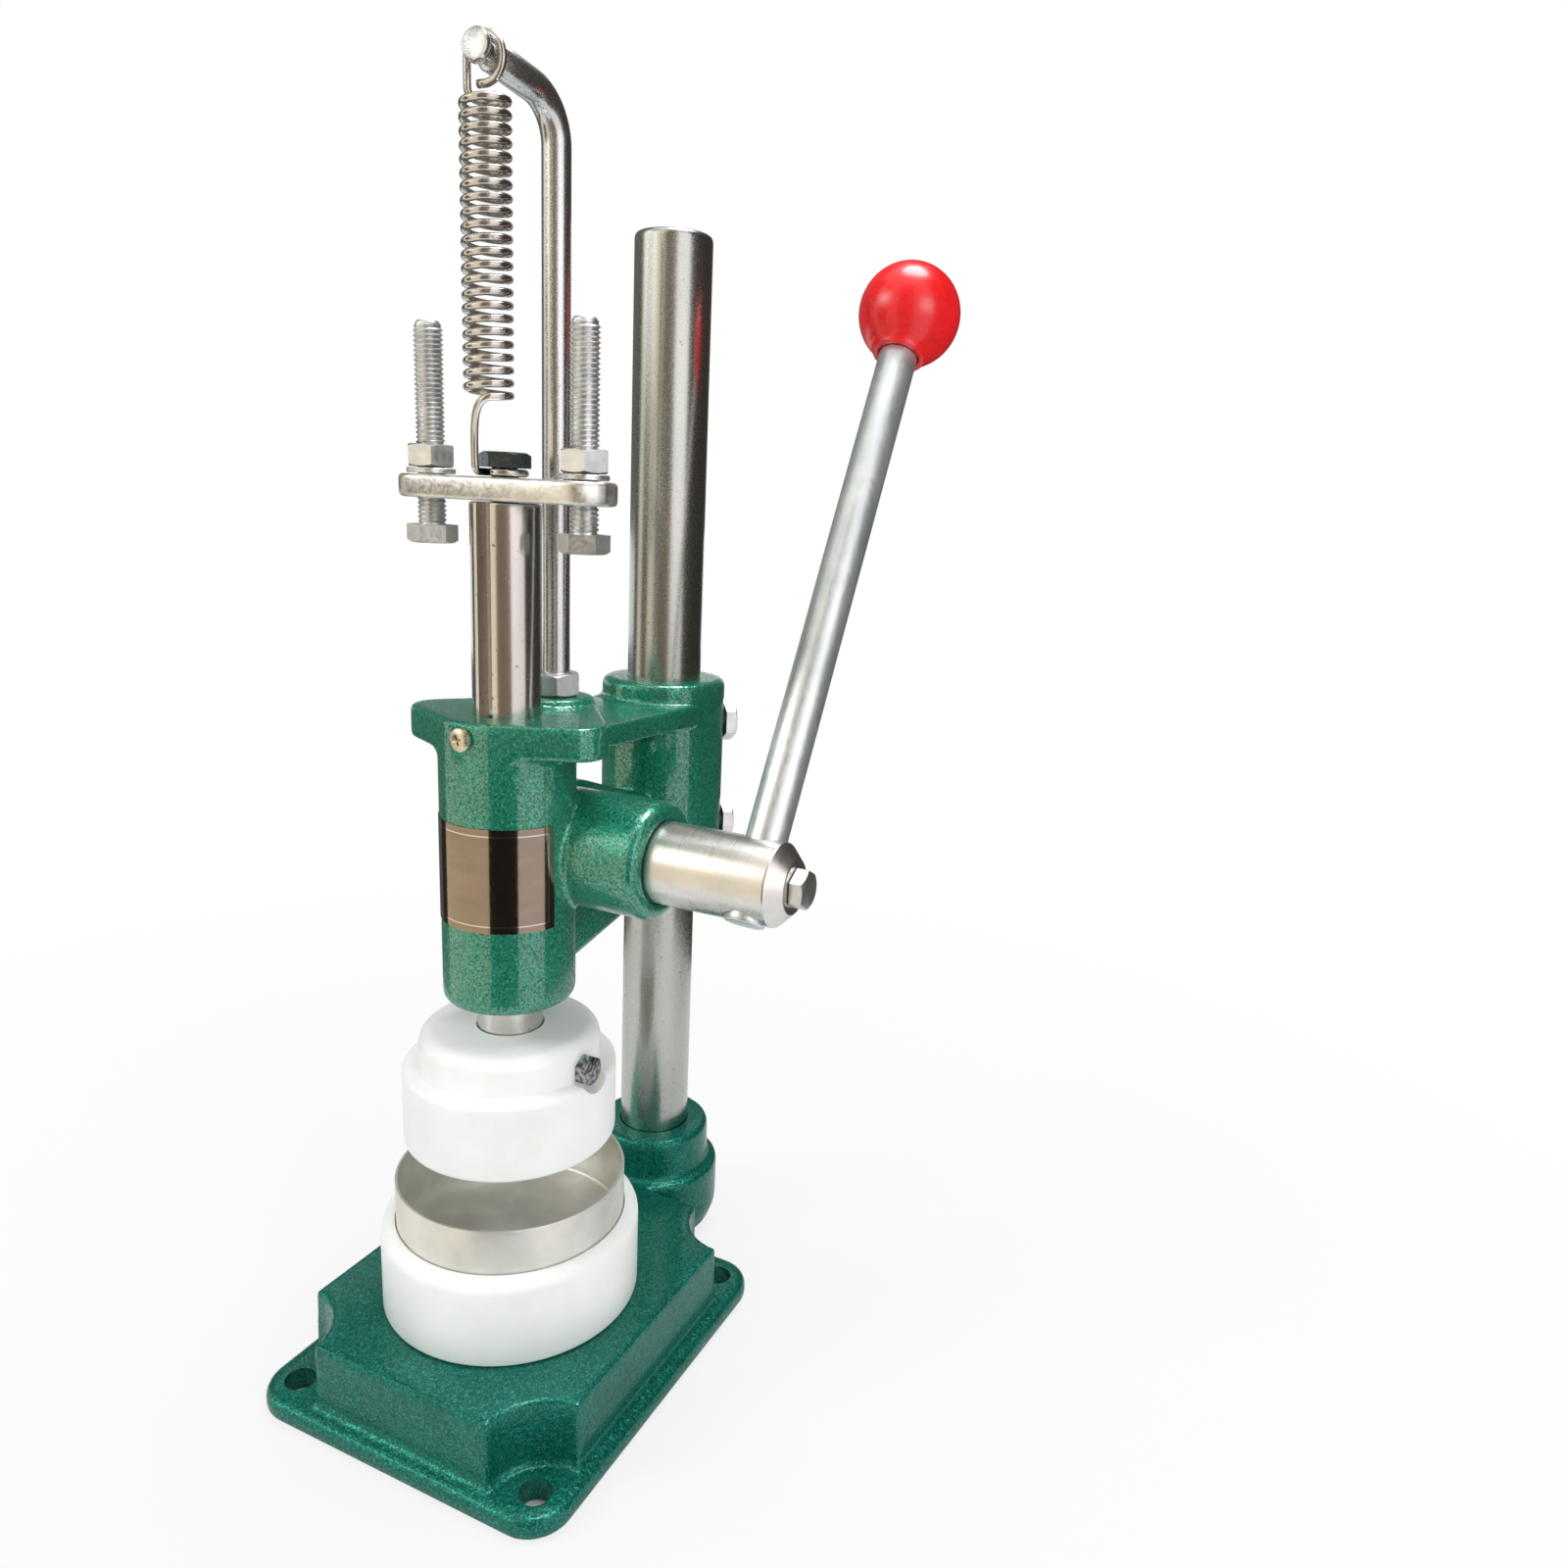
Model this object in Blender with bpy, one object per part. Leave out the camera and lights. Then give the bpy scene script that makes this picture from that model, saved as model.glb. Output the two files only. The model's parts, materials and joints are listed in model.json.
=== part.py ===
"""Hand press that forms round tartlet shells, modelled as the pieces it is put together from.

The ram's axis is the Z axis, the base stands on Z = 0 and the front is toward -Y.
A column behind the ram carries the head; the ram slides in the head's barrel. A pinion with a
handle drives the rack on the ram's back, and a spring on a hanger pulls the ram up again.
All lengths are in metres.
"""
import math

import bmesh
import bpy
from mathutils import Matrix, Vector

# Fits shared by all pieces
TOUCH_GAP = 0.0003
RUNNING_CLEARANCE = 0.00005
CUT_OVERRUN = 0.002
MERGE_DISTANCE = 0.000001

# How finely round shapes are divided
FINE_STEPS = 40
ROUND_STEPS = 24
SMALL_STEPS = 12
CURVE_STEPS = 3
SMOOTH_ANGLE_DEGREES = 35.0

# Base casting
FLANGE_HALF_WIDTH = 0.0543
FLANGE_FRONT = 0.0569
FLANGE_BACK = 0.068
FLANGE_THICKNESS = 0.0069
FLANGE_CORNER = 0.0124
FLANGE_EDGE = 0.0015
BOLT_HOLE_INSET = 0.0105
BOLT_HOLE_RADIUS = 0.0046
PLINTH_INSET = 0.0048
PLINTH_TOP = 0.0277
PLINTH_POCKET = 0.0176
PLINTH_EDGE = 0.0012
CAST_FILLET = 0.0016
BASE_WALL = 0.006
PAD_RADIUS = 0.0085
DIE_BOSS_RADIUS = 0.010
DIE_BOSS_UNDERSIDE = 0.012
DIE_SCREW_RECESS = 0.0066

# Column and its socket at the back of the base
COLUMN_DISTANCE = 0.085
COLUMN_RADIUS = 0.0125
COLUMN_TOP = 0.3535
COLUMN_FOOT = 0.006
COLUMN_EDGE = 0.0018
SOCKET_WALL = 0.0077
SOCKET_RISE = 0.0158
SOCKET_EDGE = 0.002
TAIL_STEP = 0.004
TAIL_ROUNDING = 0.01
COLUMN_SCREW_HEIGHT = 0.017
COLUMN_SCREW_RADIUS = 0.004

# Lower die and the steel ring that stands in it
RING_RADIUS = 0.0347
RING_WALL = 0.0009
RING_PROUD = 0.0136
RING_GROOVE_DEPTH = 0.0018
LOWER_DIE_WALL = 0.0046
LOWER_DIE_HEIGHT = 0.0272
LOWER_DIE_EDGE = 0.004
DIE_FLOOR_THICKNESS = 0.019
DIE_SCREW_SPREAD = 0.021
DIE_SCREW_ENGAGEMENT = 0.011

# Height of the pinion, which sets how high the head sits on the column
PINION_HEIGHT = 0.1707

# Head casting
HEAD_RISE = 0.0409
BARREL_RADIUS = 0.01925
BARREL_LENGTH = 0.0846
BARREL_EDGE = 0.001
EAR_REACH = 0.0322
EAR_RADIUS = 0.009
EAR_THICKNESS = 0.0096
EAR_EDGE = 0.0012
LOBE_RADIUS = 0.011
LOBE_RISE = 0.0022
BRIDGE_STEP = 0.0061
BRIDGE_THICKNESS = 0.007
BRIDGE_FRONT_RADIUS = 0.0148
BRIDGE_BACK_RADIUS = 0.0203
SLEEVE_WALL = 0.0085
SLEEVE_LENGTH = 0.0732
SLEEVE_PROUD = 0.0006
SLEEVE_EDGE = 0.0018
WEB_HALF_THICKNESS = 0.007
WEB_CORNER = 0.0015
WEB_RISE = 0.003
WEB_BACK_DROP = 0.0003
HOUSING_WALL = 0.0054
HOUSING_END = 0.0427
HOUSING_EDGE = 0.003

# Rack, pinion, hub and stroke
RAM_RADIUS = 0.0096
RAM_STROKE = 0.032
RACK_FLAT_DEPTH = 0.0026
GEAR_MODULE = 0.0015
PINION_TEETH = 14
PRESSURE_ANGLE_DEGREES = 20.0
RACK_ADDENDUM_SHARE = 0.8
GEAR_BACKLASH = 0.00016
ROOT_CLEARANCE = 0.0003
PINION_INNER_END = 0.0127
HUB_OVERHANG = 0.0122
HUB_CHAMFER = 0.0043
KEEPER_INSET = 0.0127
KEEPER_RADIUS = 0.0025
KEEPER_GROOVE_DEPTH = 0.002
KEEPER_SIDE_PLAY = 0.0002

# Handle
HANDLE_PLACE = 0.072
HANDLE_RADIUS = 0.006
HANDLE_TILT_DEGREES = 30.0
HANDLE_LENGTH = 0.186
HANDLE_PROUD = 0.0008
HANDLE_EDGE = 0.001
KNOB_RADIUS = 0.016
KNOB_NECK_RADIUS = 0.0085
KNOB_BORE_DEPTH = 0.019

# Ram
RAM_RISE = 0.0576
RAM_DIE_DEPTH = 0.026
RAM_EDGE = 0.0006
KEYWAY_DEPTH = 0.0025
GUIDE_SCREW_DROP = 0.0046
GUIDE_SCREW_RADIUS = 0.002
GUIDE_SCREW_HEAD_RADIUS = 0.0033
GUIDE_SCREW_HEAD_HEIGHT = 0.0018
GUIDE_SCREW_TIP_GAP = 0.0004

# Upper die
UPPER_DIE_GAP = 0.0098
UPPER_DIE_HEIGHT = 0.0351
UPPER_DIE_EDGE = 0.0045
PLUG_CLEARANCE = 0.0022
PLUG_HEIGHT = 0.0235
PLUG_STEP = 0.0049
PLUG_EDGE = 0.0012
PLUG_SHOULDER = 0.002
UPPER_DIE_SCREW_DROP = 0.0087
UPPER_DIE_SCREW_POCKET = 0.0062

# Stop plate and its fasteners
STOP_PLATE_REACH = 0.034
STOP_PLATE_HALF_WIDTH = 0.0095
STOP_PLATE_THICKNESS = 0.0062
STOP_PLATE_EDGE = 0.001
STOP_BOLT_INSET = 0.0085
STOP_BOLT_HEAD_DROP = 0.012
STOP_BOLT_LENGTH = 0.0585
RAM_BOLT_HEAD = 0.004
RAM_BOLT_ENGAGEMENT = 0.012

# Standard fasteners: shank radius, size across flats and height
M5_RADIUS = 0.0025
M5_FLATS = 0.008
M5_HEAD = 0.0035
M6_RADIUS = 0.003
M6_FLATS = 0.010
M6_HEAD = 0.004
M8_RADIUS = 0.004
M8_FLATS = 0.013
M8_NUT = 0.0065
M8_WASHER = 0.0014
M8_WASHER_RADIUS = 0.0066
SMALL_M8_FLATS = 0.012
SMALL_M8_HEAD = 0.005
SMALL_M8_NUT = 0.006
FASTENER_CHAMFER = 0.0005
SOCKET_DEPTH = 0.002
CLAMP_BOLT_LOW_INSET = 0.0213
CLAMP_BOLT_HIGH_INSET = 0.0156
CLAMP_BOLT_TURN_DEGREES = 45.0

# Spring hanger
HANGER_RADIUS = 0.004
HANGER_DISTANCE = 0.0228
HANGER_FOOT_DEPTH = 0.0095
HANGER_RISE = 0.1483
HANGER_BEND_RADIUS = 0.012
HANGER_BEND_DEGREES = 84.0
HANGER_REACH = 0.0105
HANGER_END_HEAD = 0.0026
HANGER_GROOVE_WIDTH = 0.0032
HANGER_GROOVE_RADIUS = 0.0026
HANGER_EDGE = 0.0006

# Return spring
WIRE_RADIUS = 0.001
COIL_RADIUS = 0.0055
COIL_PITCH = 0.00315
COIL_LAST_TURN_SHARE = 0.55
COIL_POINTS_PER_TURN = 8
COIL_BACKSET = 0.0025
HOOK_RISE = 0.0199
HOOK_STRAIGHT = 0.0045
HOOK_BEND_RADIUS = 0.002
HOOK_UPRIGHT = 0.009
HOOK_REACH = 0.005
HOOK_POINTS = 16
LOOP_POINTS = 24
EYE_TURN_DEGREES = 260.0
EYE_END_DEGREES = 190.0
LOOP_TURN_DEGREES = 270.0
NEIGHBOUR_POINTS = 6

# Places that follow from the sizes above: base and dies
COLUMN_AXIS = Vector((0, COLUMN_DISTANCE, 0))
SOCKET_RADIUS = COLUMN_RADIUS + SOCKET_WALL
SOCKET_TOP = PLINTH_TOP + SOCKET_RISE
TAIL_RADIUS = SOCKET_RADIUS + TAIL_STEP
LOWER_DIE_BOTTOM = PLINTH_TOP + TOUCH_GAP
LOWER_DIE_TOP = LOWER_DIE_BOTTOM + LOWER_DIE_HEIGHT
LOWER_DIE_FLOOR = LOWER_DIE_BOTTOM + DIE_FLOOR_THICKNESS
LOWER_DIE_RADIUS = RING_RADIUS + LOWER_DIE_WALL
RING_SEAT = LOWER_DIE_FLOOR - RING_GROOVE_DEPTH
RING_TOP = LOWER_DIE_TOP + RING_PROUD

# Places that follow: head
HEAD_TOP = PINION_HEIGHT + HEAD_RISE
BARREL_BOTTOM = HEAD_TOP - BARREL_LENGTH
LOBE_TOP = HEAD_TOP + LOBE_RISE
BRIDGE_TOP = HEAD_TOP - BRIDGE_STEP
SLEEVE_RADIUS = COLUMN_RADIUS + SLEEVE_WALL
SLEEVE_TOP = HEAD_TOP + SLEEVE_PROUD
SLEEVE_BOTTOM = SLEEVE_TOP - SLEEVE_LENGTH
CLAMP_BOLT_HEIGHTS = (SLEEVE_BOTTOM + CLAMP_BOLT_LOW_INSET, SLEEVE_TOP - CLAMP_BOLT_HIGH_INSET)
WEB_BOTTOM = BARREL_BOTTOM + WEB_RISE
WEB_BACK_TOP = PINION_HEIGHT - WEB_BACK_DROP
GUIDE_SCREW_HEIGHT = HEAD_TOP - GUIDE_SCREW_DROP
HANGER_BEND_START = LOBE_TOP + HANGER_RISE

# Places that follow: pinion and handle
PITCH_RADIUS = GEAR_MODULE * PINION_TEETH / 2
PINION_RADIUS = PITCH_RADIUS + GEAR_MODULE
RACK_TIP = RAM_RADIUS - RACK_FLAT_DEPTH
RACK_PITCH_LINE = RACK_TIP - GEAR_MODULE * RACK_ADDENDUM_SHARE
PINION_DISTANCE = RACK_PITCH_LINE + PITCH_RADIUS
PINION_BORE = PINION_RADIUS + RUNNING_CLEARANCE
PINION_AXIS = Vector((0, PINION_DISTANCE, PINION_HEIGHT))
HOUSING_RADIUS = PINION_BORE + HOUSING_WALL
KEEPER_PLACE = HOUSING_END - KEEPER_INSET
HUB_END = HANDLE_PLACE + HUB_OVERHANG
HANDLE_TAIL = PINION_RADIUS + HANDLE_PROUD

# Places that follow: ram and the pieces on it
RAM_TOP = HEAD_TOP + RAM_RISE
STOP_PLATE_BOTTOM = RAM_TOP + TOUCH_GAP
STOP_PLATE_TOP = STOP_PLATE_BOTTOM + STOP_PLATE_THICKNESS
STOP_BOLT_PLACE = STOP_PLATE_REACH - STOP_BOLT_INSET
STOP_BOLT_HEAD_BOTTOM = RAM_TOP - STOP_BOLT_HEAD_DROP
UPPER_DIE_TOP = BARREL_BOTTOM - UPPER_DIE_GAP
UPPER_DIE_BOTTOM = UPPER_DIE_TOP - UPPER_DIE_HEIGHT
UPPER_DIE_SCREW_HEIGHT = UPPER_DIE_TOP - UPPER_DIE_SCREW_DROP
PLUG_TOP = UPPER_DIE_BOTTOM + PLUG_HEIGHT
PLUG_RADIUS = RING_RADIUS - RING_WALL - PLUG_CLEARANCE
UPPER_DIE_RADIUS = PLUG_RADIUS - PLUG_STEP
RAM_BOTTOM = UPPER_DIE_TOP - RAM_DIE_DEPTH
COIL_BOTTOM = STOP_PLATE_TOP + HOOK_RISE

# Directions
UP = Vector((0, 0, 1))
RIGHT = Vector((1, 0, 0))
BACK = Vector((0, 1, 0))


def finish(name, colour, roughness, metallic):
    """A Principled material, one for each kind of surface."""
    material = bpy.data.materials.new(name)
    material.use_nodes = True
    shader = material.node_tree.nodes["Principled BSDF"]
    shader.inputs["Base Color"].default_value = (*colour, 1)
    shader.inputs["Roughness"].default_value = roughness
    shader.inputs["Metallic"].default_value = metallic
    material.diffuse_color = (*colour, 1)
    return material


def circle(radius, height, steps):
    """One ring of points round the Z axis."""
    turns = [2 * math.pi * k / steps for k in range(steps)]
    return [Vector((radius * math.cos(a), radius * math.sin(a), height)) for a in turns]


def hexagon(across_flats, height, steps):
    """One ring of points on a hexagon, as many as a circle would have."""
    points = []
    for k in range(steps):
        angle = 2 * math.pi * k / steps
        from_flat = (angle + math.pi / 6) % (math.pi / 3) - math.pi / 6
        radius = across_flats / 2 / math.cos(from_flat)
        points.append(Vector((radius * math.cos(angle), radius * math.sin(angle), height)))
    return points


def hull(circles, grow, height, steps):
    """The outline round a set of plan circles (x, y, radius), drawn tight and grown outward."""
    points = []
    for k in range(steps):
        angle = 2 * math.pi * (k + 1 / 2) / steps
        ahead = Vector((math.cos(angle), math.sin(angle)))
        x, y, radius = max(circles, key=lambda c: c[0] * ahead.x + c[1] * ahead.y + c[2])
        edge = Vector((x, y)) + ahead * (radius + grow)
        points.append(Vector((edge.x, edge.y, height)))
    return points


def loft(rings, closed=False):
    """A solid through rings of equally many points, capped at both ends or closed on itself."""
    shape = bmesh.new()
    rows = [[shape.verts.new(point) for point in ring] for ring in rings]
    pairs = list(zip(rows, rows[1:]))
    if closed:
        pairs.append((rows[-1], rows[0]))
    else:
        shape.faces.new(rows[0])
        shape.faces.new(rows[-1])
    for low, high in pairs:
        for k in range(len(low)):
            after = (k + 1) % len(low)
            shape.faces.new((low[k], low[after], high[after], high[k]))
    bmesh.ops.recalc_face_normals(shape, faces=shape.faces)
    return shape


def turned(profile, steps=ROUND_STEPS, closed=False):
    """A solid turned round Z from a profile of (radius, height) points."""
    shape = bmesh.new()
    points = [shape.verts.new((radius, 0, height)) for radius, height in profile]
    lines = [shape.edges.new(pair) for pair in zip(points, points[1:])]
    if closed:
        lines.append(shape.edges.new((points[-1], points[0])))
    bmesh.ops.spin(shape, geom=points + lines, cent=(0, 0, 0), axis=UP,
                   angle=2 * math.pi, steps=steps)
    bmesh.ops.remove_doubles(shape, verts=shape.verts, dist=MERGE_DISTANCE)
    bmesh.ops.recalc_face_normals(shape, faces=shape.faces)
    return shape


def rod(radius, bottom, top, edge=0, steps=ROUND_STEPS):
    """A plain round bar along Z, with chamfered ends if an edge is given."""
    if edge:
        profile = [(0, bottom), (radius - edge, bottom), (radius, bottom + edge),
                   (radius, top - edge), (radius - edge, top), (0, top)]
    else:
        profile = [(0, bottom), (radius, bottom), (radius, top), (0, top)]
    return turned(profile, steps)


def arc(centre, radius, start_degrees, end_degrees, steps=CURVE_STEPS):
    """Profile points along an arc, both ends included."""
    points = []
    for k in range(steps + 1):
        angle = math.radians(start_degrees + (end_degrees - start_degrees) * k / steps)
        points.append((centre[0] + radius * math.cos(angle), centre[1] + radius * math.sin(angle)))
    return points


def aimed(shape, place, direction=UP):
    """The shape with its Z axis turned to a direction and its origin put at a place."""
    turn = direction.to_track_quat("Z", "Y").to_matrix().to_4x4()
    shape.transform(Matrix.Translation(place) @ turn)
    return shape


def solid(name, shape, material, origin=Vector((0, 0, 0))):
    """The object for one piece, its origin where the piece turns or stands."""
    shape.transform(Matrix.Translation(-origin))
    mesh = bpy.data.meshes.new(name)
    shape.to_mesh(mesh)
    shape.free()
    mesh.shade_smooth()
    mesh.set_sharp_from_angle(angle=math.radians(SMOOTH_ANGLE_DEGREES))
    piece = bpy.data.objects.new(name, mesh)
    piece.location = origin
    bpy.context.scene.collection.objects.link(piece)
    if material:
        mesh.materials.append(material)
    return piece


def hidden_form(name, shape):
    """An object that only shapes another one."""
    form = solid(name, shape, None)
    form.hide_render = True
    form.display_type = "WIRE"
    return form


def combine(piece, shapes, operation):
    """Joins shapes to a piece, or cuts them away, by one Boolean with a set of hidden forms."""
    step = piece.modifiers.new(f"{operation.lower()}_{len(piece.modifiers)}", "BOOLEAN")
    forms = bpy.data.collections.new(f"{piece.name}_{step.name}")
    bpy.context.scene.collection.children.link(forms)
    for shape in shapes:
        form = hidden_form(f"{piece.name}_form", shape)
        bpy.context.scene.collection.objects.unlink(form)
        forms.objects.link(form)
    step.operation = operation
    step.solver = "EXACT"
    step.operand_type = "COLLECTION"
    step.collection = forms


def pair(name, shapes, material):
    """Two like pieces, the first on the left or below, the second on the right or above."""
    return [solid(f"{name}_{number + 1}", shape, material) for number, shape in enumerate(shapes)]


def fuse(piece, *shapes):
    combine(piece, shapes, "UNION")


def cut(piece, *shapes):
    combine(piece, shapes, "DIFFERENCE")


def carry(parent, *pieces):
    """Parents pieces to the empty of the body that moves them."""
    bpy.context.view_layer.update()
    for piece in pieces:
        piece.parent = parent
        piece.matrix_parent_inverse = parent.matrix_world.inverted()


def body(name, place, parent=None):
    """An empty that stands for one rigid body, on its joint's axis."""
    empty = bpy.data.objects.new(name, None)
    empty.location = place
    bpy.context.scene.collection.objects.link(empty)
    if parent:
        carry(parent, empty)
    return empty


def hex_bolt(place, direction, across_flats, head, radius, length):
    """A hexagon bolt: the head's outer face at the place, the shank along the direction."""
    edge = FASTENER_CHAMFER
    rings = [
        circle(across_flats / 2 - edge, 0, SMALL_STEPS),
        hexagon(across_flats, edge, SMALL_STEPS),
        hexagon(across_flats, head, SMALL_STEPS),
        circle(radius, head, SMALL_STEPS),
        circle(radius, head + length - edge, SMALL_STEPS),
        circle(radius - edge, head + length, SMALL_STEPS),
    ]
    return aimed(loft(rings), place, direction)


def hex_nut(place, across_flats, height, bore):
    """A hexagon nut standing on the place, its hole open right through."""
    edge = FASTENER_CHAMFER
    rings = [
        circle(across_flats / 2 - edge, 0, SMALL_STEPS),
        hexagon(across_flats, edge, SMALL_STEPS),
        hexagon(across_flats, height - edge, SMALL_STEPS),
        circle(across_flats / 2 - edge, height, SMALL_STEPS),
        circle(bore, height, SMALL_STEPS),
        circle(bore, 0, SMALL_STEPS),
    ]
    return aimed(loft(rings, closed=True), place)


def grub_screw(place, direction, radius, length):
    """A headless screw with a hexagon socket in its outer end."""
    edge = FASTENER_CHAMFER
    rings = [
        hexagon(radius, SOCKET_DEPTH, SMALL_STEPS),
        hexagon(radius, 0, SMALL_STEPS),
        circle(radius - edge, 0, SMALL_STEPS),
        circle(radius, edge, SMALL_STEPS),
        circle(radius, length - edge, SMALL_STEPS),
        circle(radius - edge, length, SMALL_STEPS),
    ]
    return aimed(loft(rings), place, direction)


def flange_corners():
    """Plan circles at the four corners of the base flange."""
    across = FLANGE_HALF_WIDTH - FLANGE_CORNER
    front = FLANGE_CORNER - FLANGE_FRONT
    back = FLANGE_BACK - FLANGE_CORNER
    return [(x, y, FLANGE_CORNER) for x in (-across, across) for y in (front, back)]


def bolt_hole_places():
    """Centres of the four holes that hold the base down."""
    across = FLANGE_HALF_WIDTH - BOLT_HOLE_INSET
    rows = (BOLT_HOLE_INSET - FLANGE_FRONT, FLANGE_BACK - BOLT_HOLE_INSET)
    return [Vector((x, y, 0)) for x in (-across, across) for y in rows]


def die_screw_places():
    """Centres of the two screws under the lower die, on the cross rib."""
    return [RIGHT * x for x in (-DIE_SCREW_SPREAD, DIE_SCREW_SPREAD)]


def plinth_ring(grow, height):
    """The plinth's outline: a rectangle with a hollow quarter round at each bolt hole."""
    across = FLANGE_HALF_WIDTH - PLINTH_INSET
    front = PLINTH_INSET - FLANGE_FRONT
    back = FLANGE_BACK - PLINTH_INSET
    radius = PLINTH_POCKET - grow
    lean = math.degrees(math.asin(grow / radius))
    corners = [((across, front), 180), ((across, back), 270), ((-across, back), 0), ((-across, front), 90)]
    points = []
    for centre, start in corners:
        points += arc(centre, radius, start + lean, start - 90 - lean, 2 * CURVE_STEPS)
    return [Vector((x, y, height)) for x, y in points]


def cored_underside():
    """The hollow under the plinth, round a cross of ribs, a middle pad and the screw bosses."""
    roof = PLINTH_TOP - BASE_WALL
    hollow = hidden_form("underside_hollow", loft([plinth_ring(-BASE_WALL, -CUT_OVERRUN),
                                                   plinth_ring(-BASE_WALL - CAST_FILLET, roof)]))
    half = BASE_WALL / 2
    far = FLANGE_BACK + FLANGE_FRONT
    low = -2 * CUT_OVERRUN
    high = roof + CUT_OVERRUN
    along = [Vector(p) for p in ((-half, -far, 0), (half, -far, 0), (half, far, 0), (-half, far, 0))]
    across = [Vector((point.y, point.x, 0)) for point in along]
    kept = [loft([[p + UP * low for p in rib], [p + UP * high for p in rib]]) for rib in (along, across)]
    kept.append(rod(PAD_RADIUS, low, high))
    for place in die_screw_places():
        kept.append(aimed(rod(DIE_BOSS_RADIUS, low, high), place))
    kept.append(aimed(rod(COLUMN_RADIUS + BASE_WALL, low, high), COLUMN_AXIS))
    cut(hollow, *kept)
    return hollow


def base_casting(green):
    """Flange, plinth, tail and column socket in one casting, cored from below."""
    edge = FLANGE_EDGE
    corners = flange_corners()
    flange = loft([hull(corners, -edge / 2, 0, FINE_STEPS), hull(corners, 0, edge / 2, FINE_STEPS),
                   hull(corners, 0, FLANGE_THICKNESS - edge, FINE_STEPS),
                   hull(corners, -edge / 2, FLANGE_THICKNESS - edge / 2, FINE_STEPS),
                   hull(corners, -edge, FLANGE_THICKNESS, FINE_STEPS)])
    base = solid("base_casting", flange, green)
    inside = FLANGE_THICKNESS / 2
    plinth = loft([plinth_ring(CAST_FILLET, inside),
                   plinth_ring(CAST_FILLET, FLANGE_THICKNESS),
                   plinth_ring(CAST_FILLET / 3, FLANGE_THICKNESS + CAST_FILLET / 3),
                   plinth_ring(0, FLANGE_THICKNESS + CAST_FILLET),
                   plinth_ring(0, PLINTH_TOP - PLINTH_EDGE),
                   plinth_ring(-PLINTH_EDGE / 3, PLINTH_TOP - PLINTH_EDGE / 3),
                   plinth_ring(-PLINTH_EDGE, PLINTH_TOP)])
    tail = [(0, 0)] + arc((TAIL_RADIUS - TAIL_ROUNDING, TAIL_ROUNDING), TAIL_ROUNDING, -90, 0)
    tail += arc((TAIL_RADIUS - SOCKET_EDGE, PLINTH_TOP - SOCKET_EDGE), SOCKET_EDGE, 0, 90)
    tail += arc((SOCKET_RADIUS + CAST_FILLET, PLINTH_TOP + CAST_FILLET), CAST_FILLET, 270, 180)
    tail += arc((SOCKET_RADIUS - SOCKET_EDGE, SOCKET_TOP - SOCKET_EDGE), SOCKET_EDGE, 0, 90)
    tail += [(0, SOCKET_TOP)]
    fuse(base, plinth, aimed(turned(tail, FINE_STEPS), COLUMN_AXIS))
    underside = base.modifiers.new("underside", "BOOLEAN")
    underside.solver = "EXACT"
    underside.object = cored_underside()
    holes = [aimed(rod(COLUMN_RADIUS + TOUCH_GAP, COLUMN_FOOT - TOUCH_GAP,
                       SOCKET_TOP + CUT_OVERRUN, steps=FINE_STEPS), COLUMN_AXIS)]
    for place in bolt_hole_places():
        hole = rod(BOLT_HOLE_RADIUS, -CUT_OVERRUN, FLANGE_THICKNESS + CUT_OVERRUN, steps=SMALL_STEPS)
        holes.append(aimed(hole, place))
    for place in die_screw_places():
        hole = rod(M6_RADIUS + TOUCH_GAP, DIE_BOSS_UNDERSIDE - CUT_OVERRUN,
                   PLINTH_TOP + CUT_OVERRUN, steps=SMALL_STEPS)
        recess = rod(DIE_SCREW_RECESS, -CUT_OVERRUN, DIE_BOSS_UNDERSIDE, steps=SMALL_STEPS)
        holes += [aimed(hole, place), aimed(recess, place)]
    screw_hole = rod(COLUMN_SCREW_RADIUS + TOUCH_GAP, COLUMN_RADIUS - CUT_OVERRUN,
                     TAIL_RADIUS + CUT_OVERRUN, steps=SMALL_STEPS)
    holes.append(aimed(screw_hole, COLUMN_AXIS + UP * COLUMN_SCREW_HEIGHT, BACK))
    cut(base, *holes)
    return base


def column(steel):
    shape = rod(COLUMN_RADIUS, COLUMN_FOOT, COLUMN_TOP, COLUMN_EDGE, FINE_STEPS)
    return solid("column", aimed(shape, COLUMN_AXIS), steel, COLUMN_AXIS)


def column_set_screw(zinc):
    """The grub screw in the tail that holds the column in its socket."""
    start = COLUMN_AXIS + UP * COLUMN_SCREW_HEIGHT + BACK * (TAIL_RADIUS - FASTENER_CHAMFER)
    length = TAIL_RADIUS - FASTENER_CHAMFER - COLUMN_RADIUS - TOUCH_GAP
    return solid("column_set_screw", grub_screw(start, -BACK, COLUMN_SCREW_RADIUS, length), zinc, start)


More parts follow.
